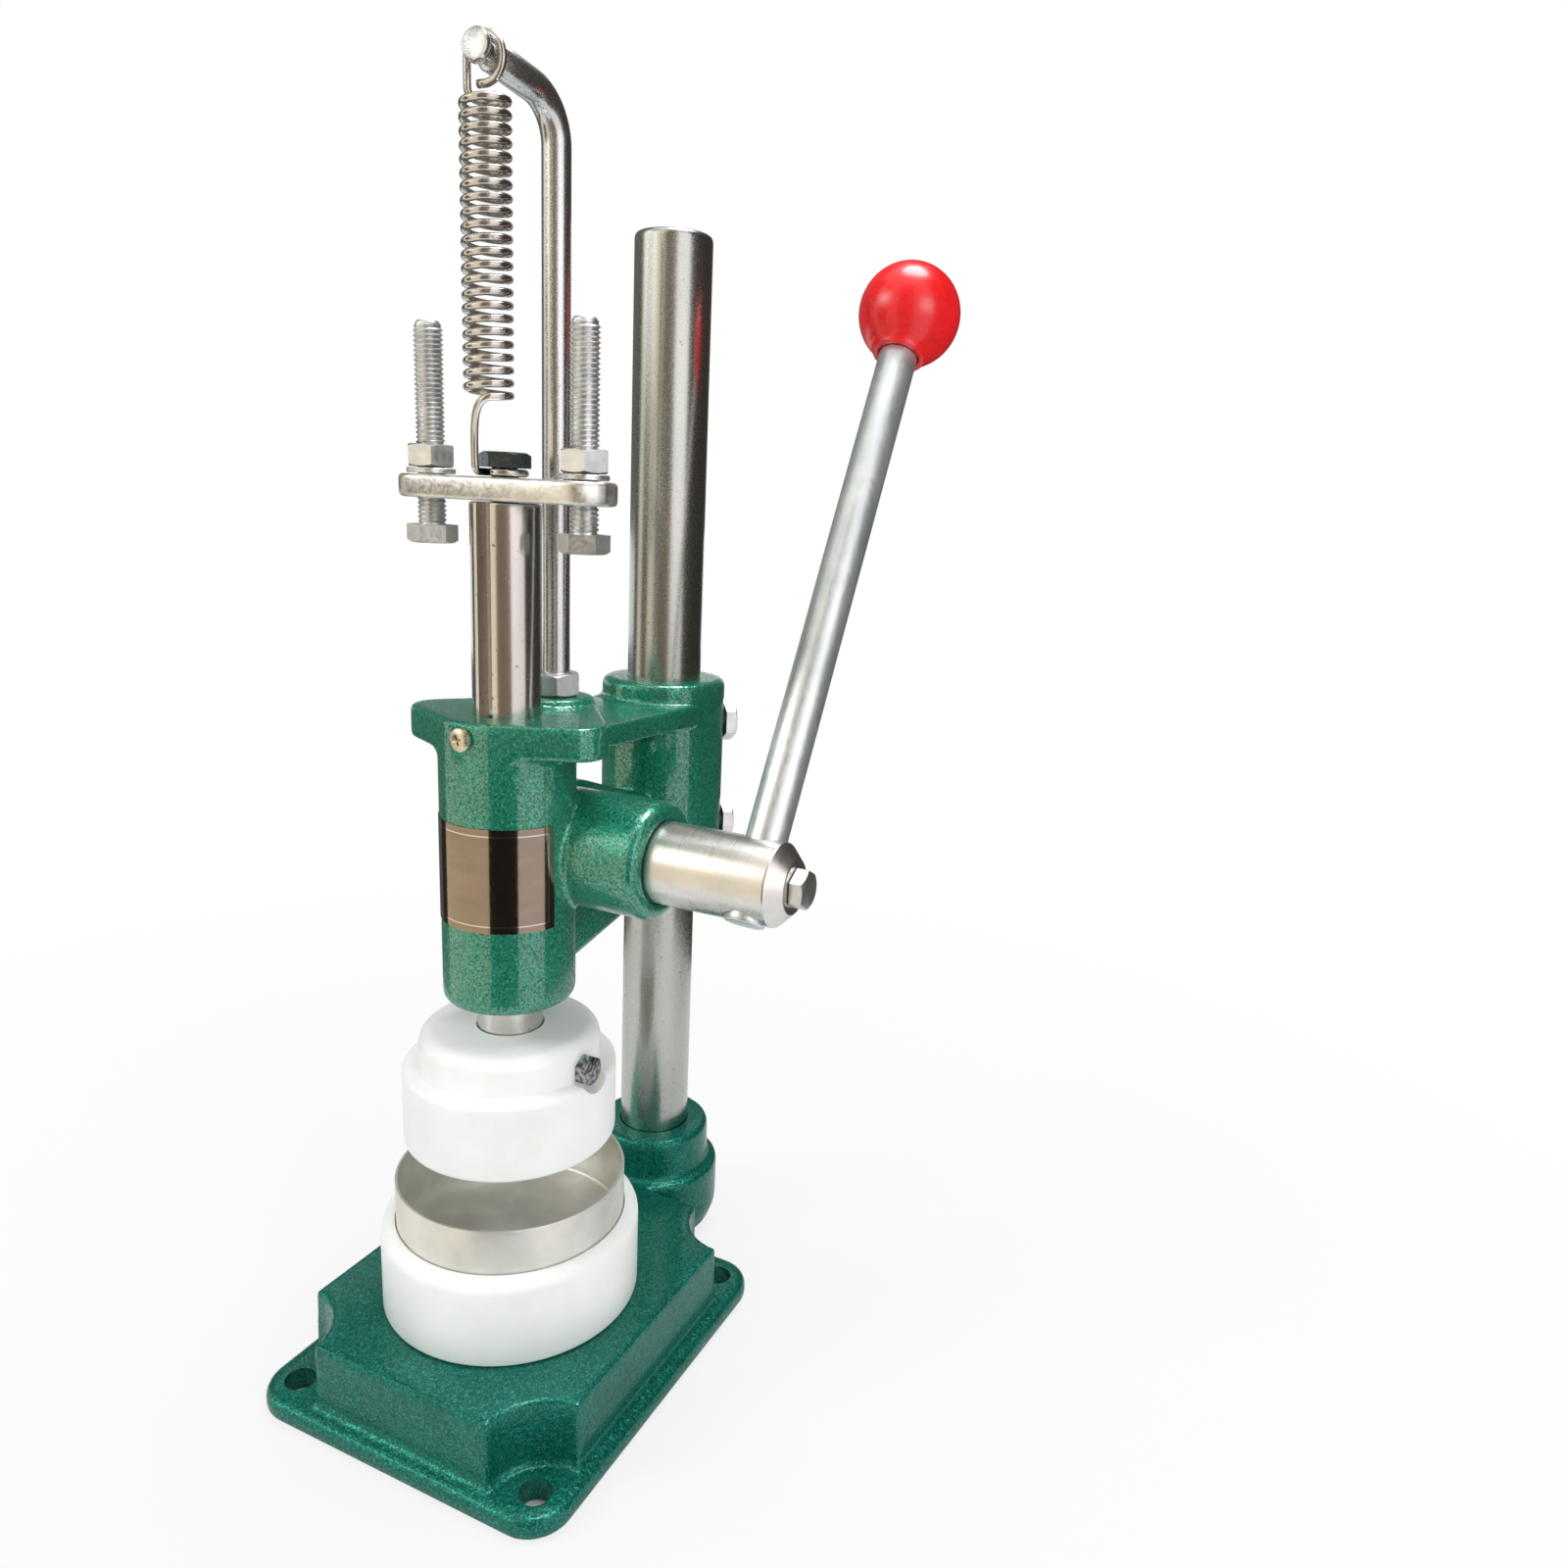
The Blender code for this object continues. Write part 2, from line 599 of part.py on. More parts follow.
def lower_die(nylon):
    """White disc with a round recess, and the groove round its floor that the ring stands in."""
    recess = RING_RADIUS + TOUCH_GAP
    floor_radius = RING_RADIUS - RING_WALL - TOUCH_GAP
    lip = FASTENER_CHAMFER
    profile = [(0, LOWER_DIE_BOTTOM), (LOWER_DIE_RADIUS - lip, LOWER_DIE_BOTTOM),
               (LOWER_DIE_RADIUS, LOWER_DIE_BOTTOM + lip)]
    profile += arc((LOWER_DIE_RADIUS - LOWER_DIE_EDGE, LOWER_DIE_TOP - LOWER_DIE_EDGE), LOWER_DIE_EDGE, 0, 90)
    profile += [(recess, LOWER_DIE_TOP), (recess, RING_SEAT), (floor_radius, RING_SEAT),
                (floor_radius, LOWER_DIE_FLOOR), (0, LOWER_DIE_FLOOR)]
    die = solid("lower_die", turned(profile, FINE_STEPS), nylon)
    top = LOWER_DIE_BOTTOM + DIE_SCREW_ENGAGEMENT + TOUCH_GAP
    holes = [aimed(rod(M6_RADIUS + TOUCH_GAP, LOWER_DIE_BOTTOM - CUT_OVERRUN, top, steps=SMALL_STEPS), place)
             for place in die_screw_places()]
    cut(die, *holes)
    return die


def die_fixing_screws(zinc):
    """The two bolts that hold the lower die from under the base."""
    head_face = DIE_BOSS_UNDERSIDE - TOUCH_GAP - M6_HEAD
    length = LOWER_DIE_BOTTOM + DIE_SCREW_ENGAGEMENT - DIE_BOSS_UNDERSIDE + TOUCH_GAP
    bolts = [hex_bolt(place + UP * head_face, UP, M6_FLATS, M6_HEAD, M6_RADIUS, length)
             for place in die_screw_places()]
    return pair("die_fixing_screw", bolts, zinc)


def mould_ring(steel):
    """Thin steel ring that gives the shell its rim."""
    bottom = RING_SEAT + TOUCH_GAP
    inner = RING_RADIUS - RING_WALL
    profile = [(inner, bottom), (RING_RADIUS, bottom), (RING_RADIUS, RING_TOP), (inner, RING_TOP)]
    return solid("mould_ring", turned(profile, FINE_STEPS, closed=True), steel)


def clamp_direction():
    angle = math.radians(CLAMP_BOLT_TURN_DEGREES)
    return Vector((math.cos(angle), math.sin(angle), 0))


def head_ears():
    """The flange at the top of the barrel, drawn round both ears and the hanger's pad."""
    reach = EAR_REACH - EAR_RADIUS
    circles = [(-reach, 0, EAR_RADIUS), (0, 0, BARREL_RADIUS), (reach, 0, EAR_RADIUS),
               (0, HANGER_DISTANCE, LOBE_RADIUS + EAR_EDGE)]
    bottom = HEAD_TOP - EAR_THICKNESS
    return loft([hull(circles, -EAR_EDGE, bottom, FINE_STEPS),
                 hull(circles, 0, bottom + EAR_EDGE, FINE_STEPS),
                 hull(circles, 0, HEAD_TOP - EAR_EDGE, FINE_STEPS),
                 hull(circles, -EAR_EDGE / 3, HEAD_TOP - EAR_EDGE / 3, FINE_STEPS),
                 hull(circles, -EAR_EDGE, HEAD_TOP, FINE_STEPS)])


def head_lobe():
    """The raised pad behind the ram that the spring hanger stands on."""
    circles = [(0, HANGER_DISTANCE, LOBE_RADIUS)]
    edge = EAR_EDGE
    rings = [hull(circles, 0, HEAD_TOP - EAR_THICKNESS / 2, ROUND_STEPS),
             hull(circles, 0, LOBE_TOP - edge, ROUND_STEPS),
             hull(circles, -edge, LOBE_TOP, ROUND_STEPS)]
    return loft(rings)


def head_bridge():
    """The upper rib from the barrel back to the sleeve, wider toward the column."""
    circles = [(0, HANGER_DISTANCE, BRIDGE_FRONT_RADIUS), (0, COLUMN_DISTANCE, BRIDGE_BACK_RADIUS)]
    bottom = BRIDGE_TOP - BRIDGE_THICKNESS
    edge = BARREL_EDGE
    return loft([hull(circles, -edge, bottom, ROUND_STEPS), hull(circles, 0, bottom + edge, ROUND_STEPS),
                 hull(circles, 0, BRIDGE_TOP - edge, ROUND_STEPS), hull(circles, -edge, BRIDGE_TOP, ROUND_STEPS)])


def head_web():
    """The lower web between barrel and sleeve, drawn in the plane of both axes."""
    corner = WEB_CORNER
    front = PINION_DISTANCE - HOUSING_RADIUS / 2
    shoulder = PINION_DISTANCE + HOUSING_RADIUS * math.sin(math.pi / 4)
    housing_top = PINION_HEIGHT + HOUSING_RADIUS * math.cos(math.pi / 6)
    back = COLUMN_DISTANCE - COLUMN_RADIUS
    back_bottom = SLEEVE_BOTTOM + SLEEVE_EDGE + corner
    places = [(front, WEB_BOTTOM), (back, back_bottom), (back, WEB_BACK_TOP),
              (shoulder, housing_top), (front, housing_top)]
    circles = [(y, z, corner) for y, z in places]
    half = WEB_HALF_THICKNESS
    edge = BARREL_EDGE
    rings = [hull(circles, -edge, -half, ROUND_STEPS), hull(circles, 0, edge - half, ROUND_STEPS),
             hull(circles, 0, half - edge, ROUND_STEPS), hull(circles, -edge, half, ROUND_STEPS)]
    shape = loft(rings)
    shape.transform(Matrix(((0, 0, 1, 0), (1, 0, 0, 0), (0, 1, 0, 0), (0, 0, 0, 1))))
    return shape


def head_casting(green):
    """Barrel, ears, pinion housing, web, bridge and column sleeve in one casting."""
    top = HEAD_TOP - EAR_THICKNESS / 2
    head = solid("head_casting", rod(BARREL_RADIUS, BARREL_BOTTOM, top, BARREL_EDGE, FINE_STEPS), green)
    housing = [(0, -HOUSING_RADIUS)]
    housing += arc((HOUSING_RADIUS - HOUSING_EDGE, HOUSING_EDGE - HOUSING_RADIUS), HOUSING_EDGE, -90, 0)
    housing += arc((HOUSING_RADIUS - HOUSING_EDGE, HOUSING_END - HOUSING_EDGE), HOUSING_EDGE, 0, 90)
    housing += [(0, HOUSING_END)]
    fuse(head, head_ears(), head_lobe(), aimed(turned(housing, FINE_STEPS), PINION_AXIS, RIGHT),
         head_web(), head_bridge(),
         aimed(rod(SLEEVE_RADIUS, SLEEVE_BOTTOM, SLEEVE_TOP, SLEEVE_EDGE, FINE_STEPS), COLUMN_AXIS))
    bores = [rod(RAM_RADIUS + RUNNING_CLEARANCE, BARREL_BOTTOM - CUT_OVERRUN,
                 LOBE_TOP + CUT_OVERRUN, steps=FINE_STEPS),
             aimed(rod(COLUMN_RADIUS + RUNNING_CLEARANCE, min(SLEEVE_BOTTOM, WEB_BOTTOM) - CUT_OVERRUN,
                       SLEEVE_TOP + CUT_OVERRUN, steps=FINE_STEPS), COLUMN_AXIS),
             aimed(rod(PINION_BORE, -PINION_INNER_END - TOUCH_GAP, HOUSING_END + CUT_OVERRUN,
                       steps=FINE_STEPS), PINION_AXIS, RIGHT)]
    holes = [aimed(rod(GUIDE_SCREW_RADIUS + TOUCH_GAP, RAM_RADIUS - CUT_OVERRUN,
                       BARREL_RADIUS + CUT_OVERRUN, steps=SMALL_STEPS), UP * GUIDE_SCREW_HEIGHT, -BACK),
             aimed(rod(HANGER_RADIUS + TOUCH_GAP, LOBE_TOP - HANGER_FOOT_DEPTH - TOUCH_GAP,
                       LOBE_TOP + CUT_OVERRUN, steps=SMALL_STEPS), BACK * HANGER_DISTANCE),
             aimed(rod(KEEPER_RADIUS + TOUCH_GAP, PINION_RADIUS - CUT_OVERRUN,
                       HOUSING_RADIUS + CUT_OVERRUN, steps=SMALL_STEPS), PINION_AXIS + RIGHT * KEEPER_PLACE, BACK)]
    for height in CLAMP_BOLT_HEIGHTS:
        hole = rod(M6_RADIUS + TOUCH_GAP, COLUMN_RADIUS - CUT_OVERRUN, SLEEVE_RADIUS + CUT_OVERRUN,
                   steps=SMALL_STEPS)
        holes.append(aimed(hole, COLUMN_AXIS + UP * height, clamp_direction()))
    cut(head, *bores, *holes)
    return head


def column_clamp_bolts(zinc):
    """The two bolts that clamp the sleeve at its height on the column."""
    outward = clamp_direction()
    head_face = SLEEVE_RADIUS + TOUCH_GAP + M6_HEAD
    length = SLEEVE_RADIUS - COLUMN_RADIUS
    bolts = [hex_bolt(COLUMN_AXIS + UP * height + outward * head_face, -outward,
                      M8_FLATS, M6_HEAD, M6_RADIUS, length) for height in CLAMP_BOLT_HEIGHTS]
    return pair("column_clamp_bolt", bolts, zinc)


def guide_screw(zinc):
    """Pan-head screw whose tip runs in the ram's keyway."""
    tip = RAM_RADIUS - KEYWAY_DEPTH + GUIDE_SCREW_TIP_GAP
    seat = BARREL_RADIUS + TOUCH_GAP
    profile = [(0, tip), (GUIDE_SCREW_RADIUS, tip), (GUIDE_SCREW_RADIUS, seat), (GUIDE_SCREW_HEAD_RADIUS, seat)]
    crown = seat + GUIDE_SCREW_HEAD_HEIGHT
    profile += arc((GUIDE_SCREW_HEAD_RADIUS - FASTENER_CHAMFER, crown - FASTENER_CHAMFER), FASTENER_CHAMFER, 0, 90)
    profile += [(0, crown)]
    shape = aimed(turned(profile, SMALL_STEPS), UP * GUIDE_SCREW_HEIGHT, -BACK)
    return solid("guide_screw", shape, zinc)


def tube_along(path, radii, steps):
    """A round bar along a bent path in the plane X = 0, with a radius at each point."""
    rings = []
    for k, point in enumerate(path):
        before = path[max(k - 1, 0)]
        after = path[min(k + 1, len(path) - 1)]
        ahead = (after - before).normalized()
        side = RIGHT
        over = ahead.cross(side)
        turns = [2 * math.pi * n / steps for n in range(steps)]
        rings.append([point + (side * math.cos(a) + over * math.sin(a)) * radii[k] for a in turns])
    return loft(rings)


def hanger_arm_direction():
    """Which way the hanger's arm points after its bend: forward and slightly up."""
    bend = math.radians(HANGER_BEND_DEGREES)
    return Vector((0, -math.sin(bend), math.cos(bend)))


def hanger_arm_point(forward):
    """The point on the arm's centre line at a distance in front of the ram's axis."""
    bend = math.radians(HANGER_BEND_DEGREES)
    centre = Vector((0, HANGER_DISTANCE - HANGER_BEND_RADIUS, HANGER_BEND_START))
    bend_end = centre + Vector((0, math.cos(bend), math.sin(bend))) * HANGER_BEND_RADIUS
    ahead = hanger_arm_direction()
    return bend_end + ahead * ((bend_end.y + forward) / -ahead.y)


def spring_hanger(steel):
    """Bent rod that stands behind the ram and holds the spring's upper loop in a groove."""
    foot = LOBE_TOP - HANGER_FOOT_DEPTH
    path = [Vector((0, HANGER_DISTANCE, z)) for z in (foot, foot + HANGER_EDGE, HANGER_BEND_START)]
    radii = [HANGER_RADIUS - HANGER_EDGE, HANGER_RADIUS, HANGER_RADIUS]
    bend_steps = 2 * CURVE_STEPS
    for k in range(1, bend_steps + 1):
        angle = math.radians(HANGER_BEND_DEGREES) * k / bend_steps
        y = HANGER_DISTANCE - HANGER_BEND_RADIUS * (1 - math.cos(angle))
        path.append(Vector((0, y, HANGER_BEND_START + HANGER_BEND_RADIUS * math.sin(angle))))
        radii.append(HANGER_RADIUS)
    ahead = hanger_arm_direction()
    end = hanger_arm_point(HANGER_REACH)
    groove_front = end - ahead * HANGER_END_HEAD
    groove_back = groove_front - ahead * HANGER_GROOVE_WIDTH
    slope = ahead * HANGER_EDGE
    path += [groove_back - slope, groove_back, groove_front, groove_front + slope, end - slope, end]
    radii += [HANGER_RADIUS, HANGER_GROOVE_RADIUS, HANGER_GROOVE_RADIUS,
              HANGER_RADIUS, HANGER_RADIUS, HANGER_RADIUS - HANGER_EDGE]
    return solid("spring_hanger", tube_along(path, radii, SMALL_STEPS), steel, BACK * HANGER_DISTANCE)


def hanger_nut(zinc):
    """Lock nut at the hanger's foot."""
    place = Vector((0, HANGER_DISTANCE, LOBE_TOP + TOUCH_GAP))
    return solid("hanger_nut", hex_nut(place, M8_FLATS, M8_NUT, HANGER_RADIUS + TOUCH_GAP), zinc, place)


def pinion_keeper_screw(zinc):
    """Grub screw whose tip keeps the pinion from sliding out sideways."""
    outer = HOUSING_RADIUS - FASTENER_CHAMFER
    tip = PINION_RADIUS - KEEPER_GROOVE_DEPTH + TOUCH_GAP
    place = PINION_AXIS + RIGHT * KEEPER_PLACE + BACK * outer
    return solid("pinion_keeper_screw", grub_screw(place, -BACK, KEEPER_RADIUS, outer - tip), zinc, place)


def rack_spaces():
    """Numbers of the rack's tooth spaces, counted from the one that meshes at rest."""
    pitch = math.pi * GEAR_MODULE
    reach = math.sqrt(PINION_RADIUS ** 2 - (PITCH_RADIUS - GEAR_MODULE * RACK_ADDENDUM_SHARE) ** 2)
    below = math.ceil(reach / pitch)
    above = math.ceil((RAM_STROKE + reach) / pitch)
    return range(-below, above + 1)


def rack_cutter():
    """The comb that mills a flat and its tooth spaces into the ram's back."""
    pitch = math.pi * GEAR_MODULE
    slope = math.tan(math.radians(PRESSURE_ANGLE_DEGREES))
    root = RACK_PITCH_LINE - GEAR_MODULE - ROOT_CLEARANCE
    half = pitch / 4 + GEAR_BACKLASH / 2
    at_tip = half + (RACK_TIP - RACK_PITCH_LINE) * slope
    at_root = half - (RACK_PITCH_LINE - root) * slope
    outside = RAM_RADIUS + CUT_OVERRUN
    spaces = rack_spaces()
    low = PINION_HEIGHT + (spaces[0] - 1 / 2) * pitch
    high = PINION_HEIGHT + (spaces[-1] + 1 / 2) * pitch
    outline = [(outside, low), (RACK_TIP, low)]
    for number in spaces:
        middle = PINION_HEIGHT + number * pitch
        outline += [(RACK_TIP, middle - at_tip), (root, middle - at_root),
                    (root, middle + at_root), (RACK_TIP, middle + at_tip)]
    outline += [(RACK_TIP, high), (outside, high)]
    left = [Vector((-outside, y, z)) for y, z in outline]
    right = [Vector((outside, y, z)) for y, z in outline]
    return loft([left, right])


def ram(steel):
    """Round ram with the rack on its back and the keyway down its front."""
    piece = solid("ram", rod(RAM_RADIUS, RAM_BOTTOM, RAM_TOP, RAM_EDGE, FINE_STEPS), steel)
    half = GUIDE_SCREW_RADIUS + TOUCH_GAP
    centre = (0, GUIDE_SCREW_HEIGHT)
    outline = arc(centre, half, 180, 360, 2 * CURVE_STEPS)
    outline += [(half, RAM_TOP + CUT_OVERRUN), (-half, RAM_TOP + CUT_OVERRUN)]
    floor = KEYWAY_DEPTH - RAM_RADIUS
    outside = -RAM_RADIUS - CUT_OVERRUN
    keyway = loft([[Vector((x, outside, z)) for x, z in outline], [Vector((x, floor, z)) for x, z in outline]])
    hole = rod(M8_RADIUS + TOUCH_GAP, RAM_TOP - RAM_BOLT_ENGAGEMENT, RAM_TOP + CUT_OVERRUN, steps=SMALL_STEPS)
    cut(piece, rack_cutter(), keyway, hole)
    return piece


def upper_die(nylon):
    """White plug that presses the dough, with a collar that takes the ram's end."""
    bottom = UPPER_DIE_BOTTOM
    profile = [(0, bottom), (PLUG_RADIUS - PLUG_EDGE, bottom)]
    profile += arc((PLUG_RADIUS - PLUG_EDGE, bottom + PLUG_EDGE), PLUG_EDGE, -90, 0)[1:]
    profile += arc((PLUG_RADIUS - PLUG_SHOULDER, PLUG_TOP - PLUG_SHOULDER), PLUG_SHOULDER, 0, 90)
    profile += [(UPPER_DIE_RADIUS, PLUG_TOP)]
    profile += arc((UPPER_DIE_RADIUS - UPPER_DIE_EDGE, UPPER_DIE_TOP - UPPER_DIE_EDGE), UPPER_DIE_EDGE, 0, 90)
    bore = RAM_RADIUS + TOUCH_GAP
    floor = RAM_BOTTOM - TOUCH_GAP
    profile += [(bore, UPPER_DIE_TOP), (bore, floor), (0, floor)]
    die = solid("upper_die", turned(profile, FINE_STEPS), nylon)
    place = UP * UPPER_DIE_SCREW_HEIGHT
    seat = UPPER_DIE_RADIUS - FASTENER_CHAMFER
    pocket = rod(UPPER_DIE_SCREW_POCKET, seat, PLUG_RADIUS + CUT_OVERRUN, steps=SMALL_STEPS)
    hole = rod(M5_RADIUS + TOUCH_GAP, RAM_RADIUS - CUT_OVERRUN, seat + CUT_OVERRUN, steps=SMALL_STEPS)
    cut(die, aimed(pocket, place, RIGHT), aimed(hole, place, RIGHT))
    return die


def upper_die_screw(zinc):
    """Hexagon screw that holds the upper die on the ram."""
    seat = UPPER_DIE_RADIUS - FASTENER_CHAMFER
    face = seat + TOUCH_GAP + M5_HEAD
    length = seat - RAM_RADIUS
    place = RIGHT * face + UP * UPPER_DIE_SCREW_HEIGHT
    return solid("upper_die_screw", hex_bolt(place, -RIGHT, M5_FLATS, M5_HEAD, M5_RADIUS, length), zinc)


def stop_plate(steel):
    """Flat bar with round ends on top of the ram."""
    reach = STOP_PLATE_REACH - STOP_PLATE_HALF_WIDTH
    circles = [(x, 0, STOP_PLATE_HALF_WIDTH) for x in (-reach, reach)]
    edge = STOP_PLATE_EDGE
    plate = solid("stop_plate", loft([
        hull(circles, -edge, STOP_PLATE_BOTTOM, ROUND_STEPS),
        hull(circles, 0, STOP_PLATE_BOTTOM + edge, ROUND_STEPS),
        hull(circles, 0, STOP_PLATE_TOP - edge, ROUND_STEPS),
        hull(circles, -edge, STOP_PLATE_TOP, ROUND_STEPS)]), steel)
    holes = [aimed(rod(M8_RADIUS + TOUCH_GAP, STOP_PLATE_BOTTOM - CUT_OVERRUN,
                       STOP_PLATE_TOP + CUT_OVERRUN, steps=SMALL_STEPS), RIGHT * x)
             for x in (-STOP_BOLT_PLACE, 0, STOP_BOLT_PLACE)]
    cut(plate, *holes)
    return plate


def stop_bolts(zinc):
    """Two long bolts, heads down, that set how far the ram can go."""
    shank = STOP_BOLT_LENGTH - SMALL_M8_HEAD
    bolts = [hex_bolt(RIGHT * x + UP * STOP_BOLT_HEAD_BOTTOM, UP, SMALL_M8_FLATS, SMALL_M8_HEAD,
                      M8_RADIUS, shank) for x in (-STOP_BOLT_PLACE, STOP_BOLT_PLACE)]
    return pair("stop_bolt", bolts, zinc)


def stop_washers(zinc):
    """Washers under the stop bolts' nuts."""
    low = STOP_PLATE_TOP + TOUCH_GAP
    high = low + M8_WASHER
    bore = M8_RADIUS + TOUCH_GAP
    profile = [(bore, low), (M8_WASHER_RADIUS, low), (M8_WASHER_RADIUS, high), (bore, high)]
    washers = [aimed(turned(profile, SMALL_STEPS, closed=True), RIGHT * x)
               for x in (-STOP_BOLT_PLACE, STOP_BOLT_PLACE)]
    return pair("stop_washer", washers, zinc)


def stop_nuts(zinc):
    """Lock nuts of the stop bolts, on their washers."""
    height = STOP_PLATE_TOP + M8_WASHER + 2 * TOUCH_GAP
    nuts = [hex_nut(RIGHT * x + UP * height, SMALL_M8_FLATS, SMALL_M8_NUT, M8_RADIUS + TOUCH_GAP)
            for x in (-STOP_BOLT_PLACE, STOP_BOLT_PLACE)]
    return pair("stop_nut", nuts, zinc)


def ram_top_bolt(zinc):
    """Bolt that holds the plate on the ram, with the spring's eye under its head."""
    under_head = STOP_PLATE_TOP + 2 * TOUCH_GAP + 2 * WIRE_RADIUS
    length = under_head - RAM_TOP + RAM_BOLT_ENGAGEMENT - TOUCH_GAP
    place = UP * (under_head + RAM_BOLT_HEAD)
    shape = hex_bolt(place, -UP, SMALL_M8_FLATS, RAM_BOLT_HEAD, M8_RADIUS, length)
    return solid("ram_top_bolt", shape, zinc)


def involute_angle(radius, base_radius):
    """How far an involute has turned where it reaches a radius."""
    if radius <= base_radius:
        return 0
    roll = math.sqrt((radius / base_radius) ** 2 - 1)
    return roll - math.atan(roll)


def tooth_space_cutters():
    """One cutter for each space between the pinion's teeth, with involute flanks."""
    base_radius = PITCH_RADIUS * math.cos(math.radians(PRESSURE_ANGLE_DEGREES))
    root = PITCH_RADIUS - GEAR_MODULE * RACK_ADDENDUM_SHARE - ROOT_CLEARANCE
    outside = PINION_RADIUS + CUT_OVERRUN / 4
    at_pitch = involute_angle(PITCH_RADIUS, base_radius)
    space_half = (math.pi * GEAR_MODULE / 4 + GEAR_BACKLASH / 2) / PITCH_RADIUS
    flank = []
    for k in range(CURVE_STEPS + 2):
        radius = root + (outside - root) * k / (CURVE_STEPS + 1)
        flank.append((radius, space_half + involute_angle(radius, base_radius) - at_pitch))
    inner = -PINION_INNER_END - CUT_OVERRUN
    outer = RAM_RADIUS + GEAR_MODULE / 2
    cutters = []
    for tooth in range(PINION_TEETH):
        middle = 2 * math.pi * (tooth + 1 / 2) / PINION_TEETH + math.pi
        outline = [(r, middle - a) for r, a in reversed(flank)] + [(r, middle + a) for r, a in flank]
        points = [Vector((0, r * math.cos(a), r * math.sin(a))) + PINION_AXIS for r, a in outline]
        cutters.append(loft([[p + RIGHT * inner for p in points], [p + RIGHT * outer for p in points]]))
    return cutters


def handle_direction():
    angle = math.radians(HANDLE_TILT_DEGREES)
    return Vector((0, math.sin(angle), math.cos(angle)))


def pinion_shaft(steel):
    """One bar: pinion teeth, bearing with the keeper's groove, and the hub for the handle."""
    radius = PINION_RADIUS
    groove = radius - KEEPER_GROOVE_DEPTH
    half = KEEPER_RADIUS + KEEPER_SIDE_PLAY
    profile = [(0, -PINION_INNER_END), (radius, -PINION_INNER_END),
               (radius, KEEPER_PLACE - half), (groove, KEEPER_PLACE - half),
               (groove, KEEPER_PLACE + half), (radius, KEEPER_PLACE + half),
               (radius, HUB_END - HUB_CHAMFER), (radius - HUB_CHAMFER, HUB_END), (0, HUB_END)]
    shape = aimed(turned(profile, FINE_STEPS), PINION_AXIS, RIGHT)
    shaft = solid("pinion_shaft", shape, steel, PINION_AXIS)
    across = radius + CUT_OVERRUN
    handle_hole = aimed(rod(HANDLE_RADIUS + TOUCH_GAP, -across, across),
                        PINION_AXIS + RIGHT * HANDLE_PLACE, handle_direction())
    bolt_hole = aimed(rod(M6_RADIUS + TOUCH_GAP, HANDLE_PLACE, HUB_END + CUT_OVERRUN, steps=SMALL_STEPS),
                      PINION_AXIS, RIGHT)
    cut(shaft, *tooth_space_cutters(), handle_hole, bolt_hole)
    return shaft


def handle_rod(steel):
    """Straight bar through the hub, leaning back at rest."""
    shape = rod(HANDLE_RADIUS, -HANDLE_TAIL, HANDLE_LENGTH, HANDLE_EDGE)
    shape = aimed(shape, PINION_AXIS + RIGHT * HANDLE_PLACE, handle_direction())
    return solid("handle_rod", shape, steel, PINION_AXIS)


def ball_knob(red):
    """Red ball with a short neck, pushed on the handle's end."""
    bore = HANDLE_RADIUS + TOUCH_GAP
    centre = HANDLE_LENGTH
    neck_angle = -math.degrees(math.acos(KNOB_NECK_RADIUS / KNOB_RADIUS))
    profile = arc((0, centre), KNOB_RADIUS, 90, neck_angle, 3 * CURVE_STEPS)
    neck = centre - KNOB_BORE_DEPTH
    floor = HANDLE_LENGTH + TOUCH_GAP
    profile += [(KNOB_NECK_RADIUS, neck), (bore, neck), (bore, floor), (0, floor)]
    shape = aimed(turned(profile), PINION_AXIS + RIGHT * HANDLE_PLACE, handle_direction())
    return solid("ball_knob", shape, red, PINION_AXIS)


def handle_lock_bolt(zinc):
    """Bolt in the hub's end that presses on the handle."""
    place = PINION_AXIS + RIGHT * (HUB_END + TOUCH_GAP + M6_HEAD)
    length = HUB_END - HANDLE_PLACE - HANDLE_RADIUS
    return solid("handle_lock_bolt", hex_bolt(place, -RIGHT, M6_FLATS, M6_HEAD, M6_RADIUS, length), zinc, PINION_AXIS)


def ring_point(centre, radius, angle_degrees, side, up):
    """A point on a circle spanned by two directions."""
    angle = math.radians(angle_degrees)
    return centre + side * (radius * math.cos(angle)) + up * (radius * math.sin(angle))


def bezier_point(start, leaving, arriving, end, share):
    """The point at a share of a curve that leaves toward one point and arrives from another."""
    left = 1 - share
    return (start * left ** 3 + leaving * (3 * share * left ** 2)
            + arriving * (3 * share ** 2 * left) + end * share ** 3)


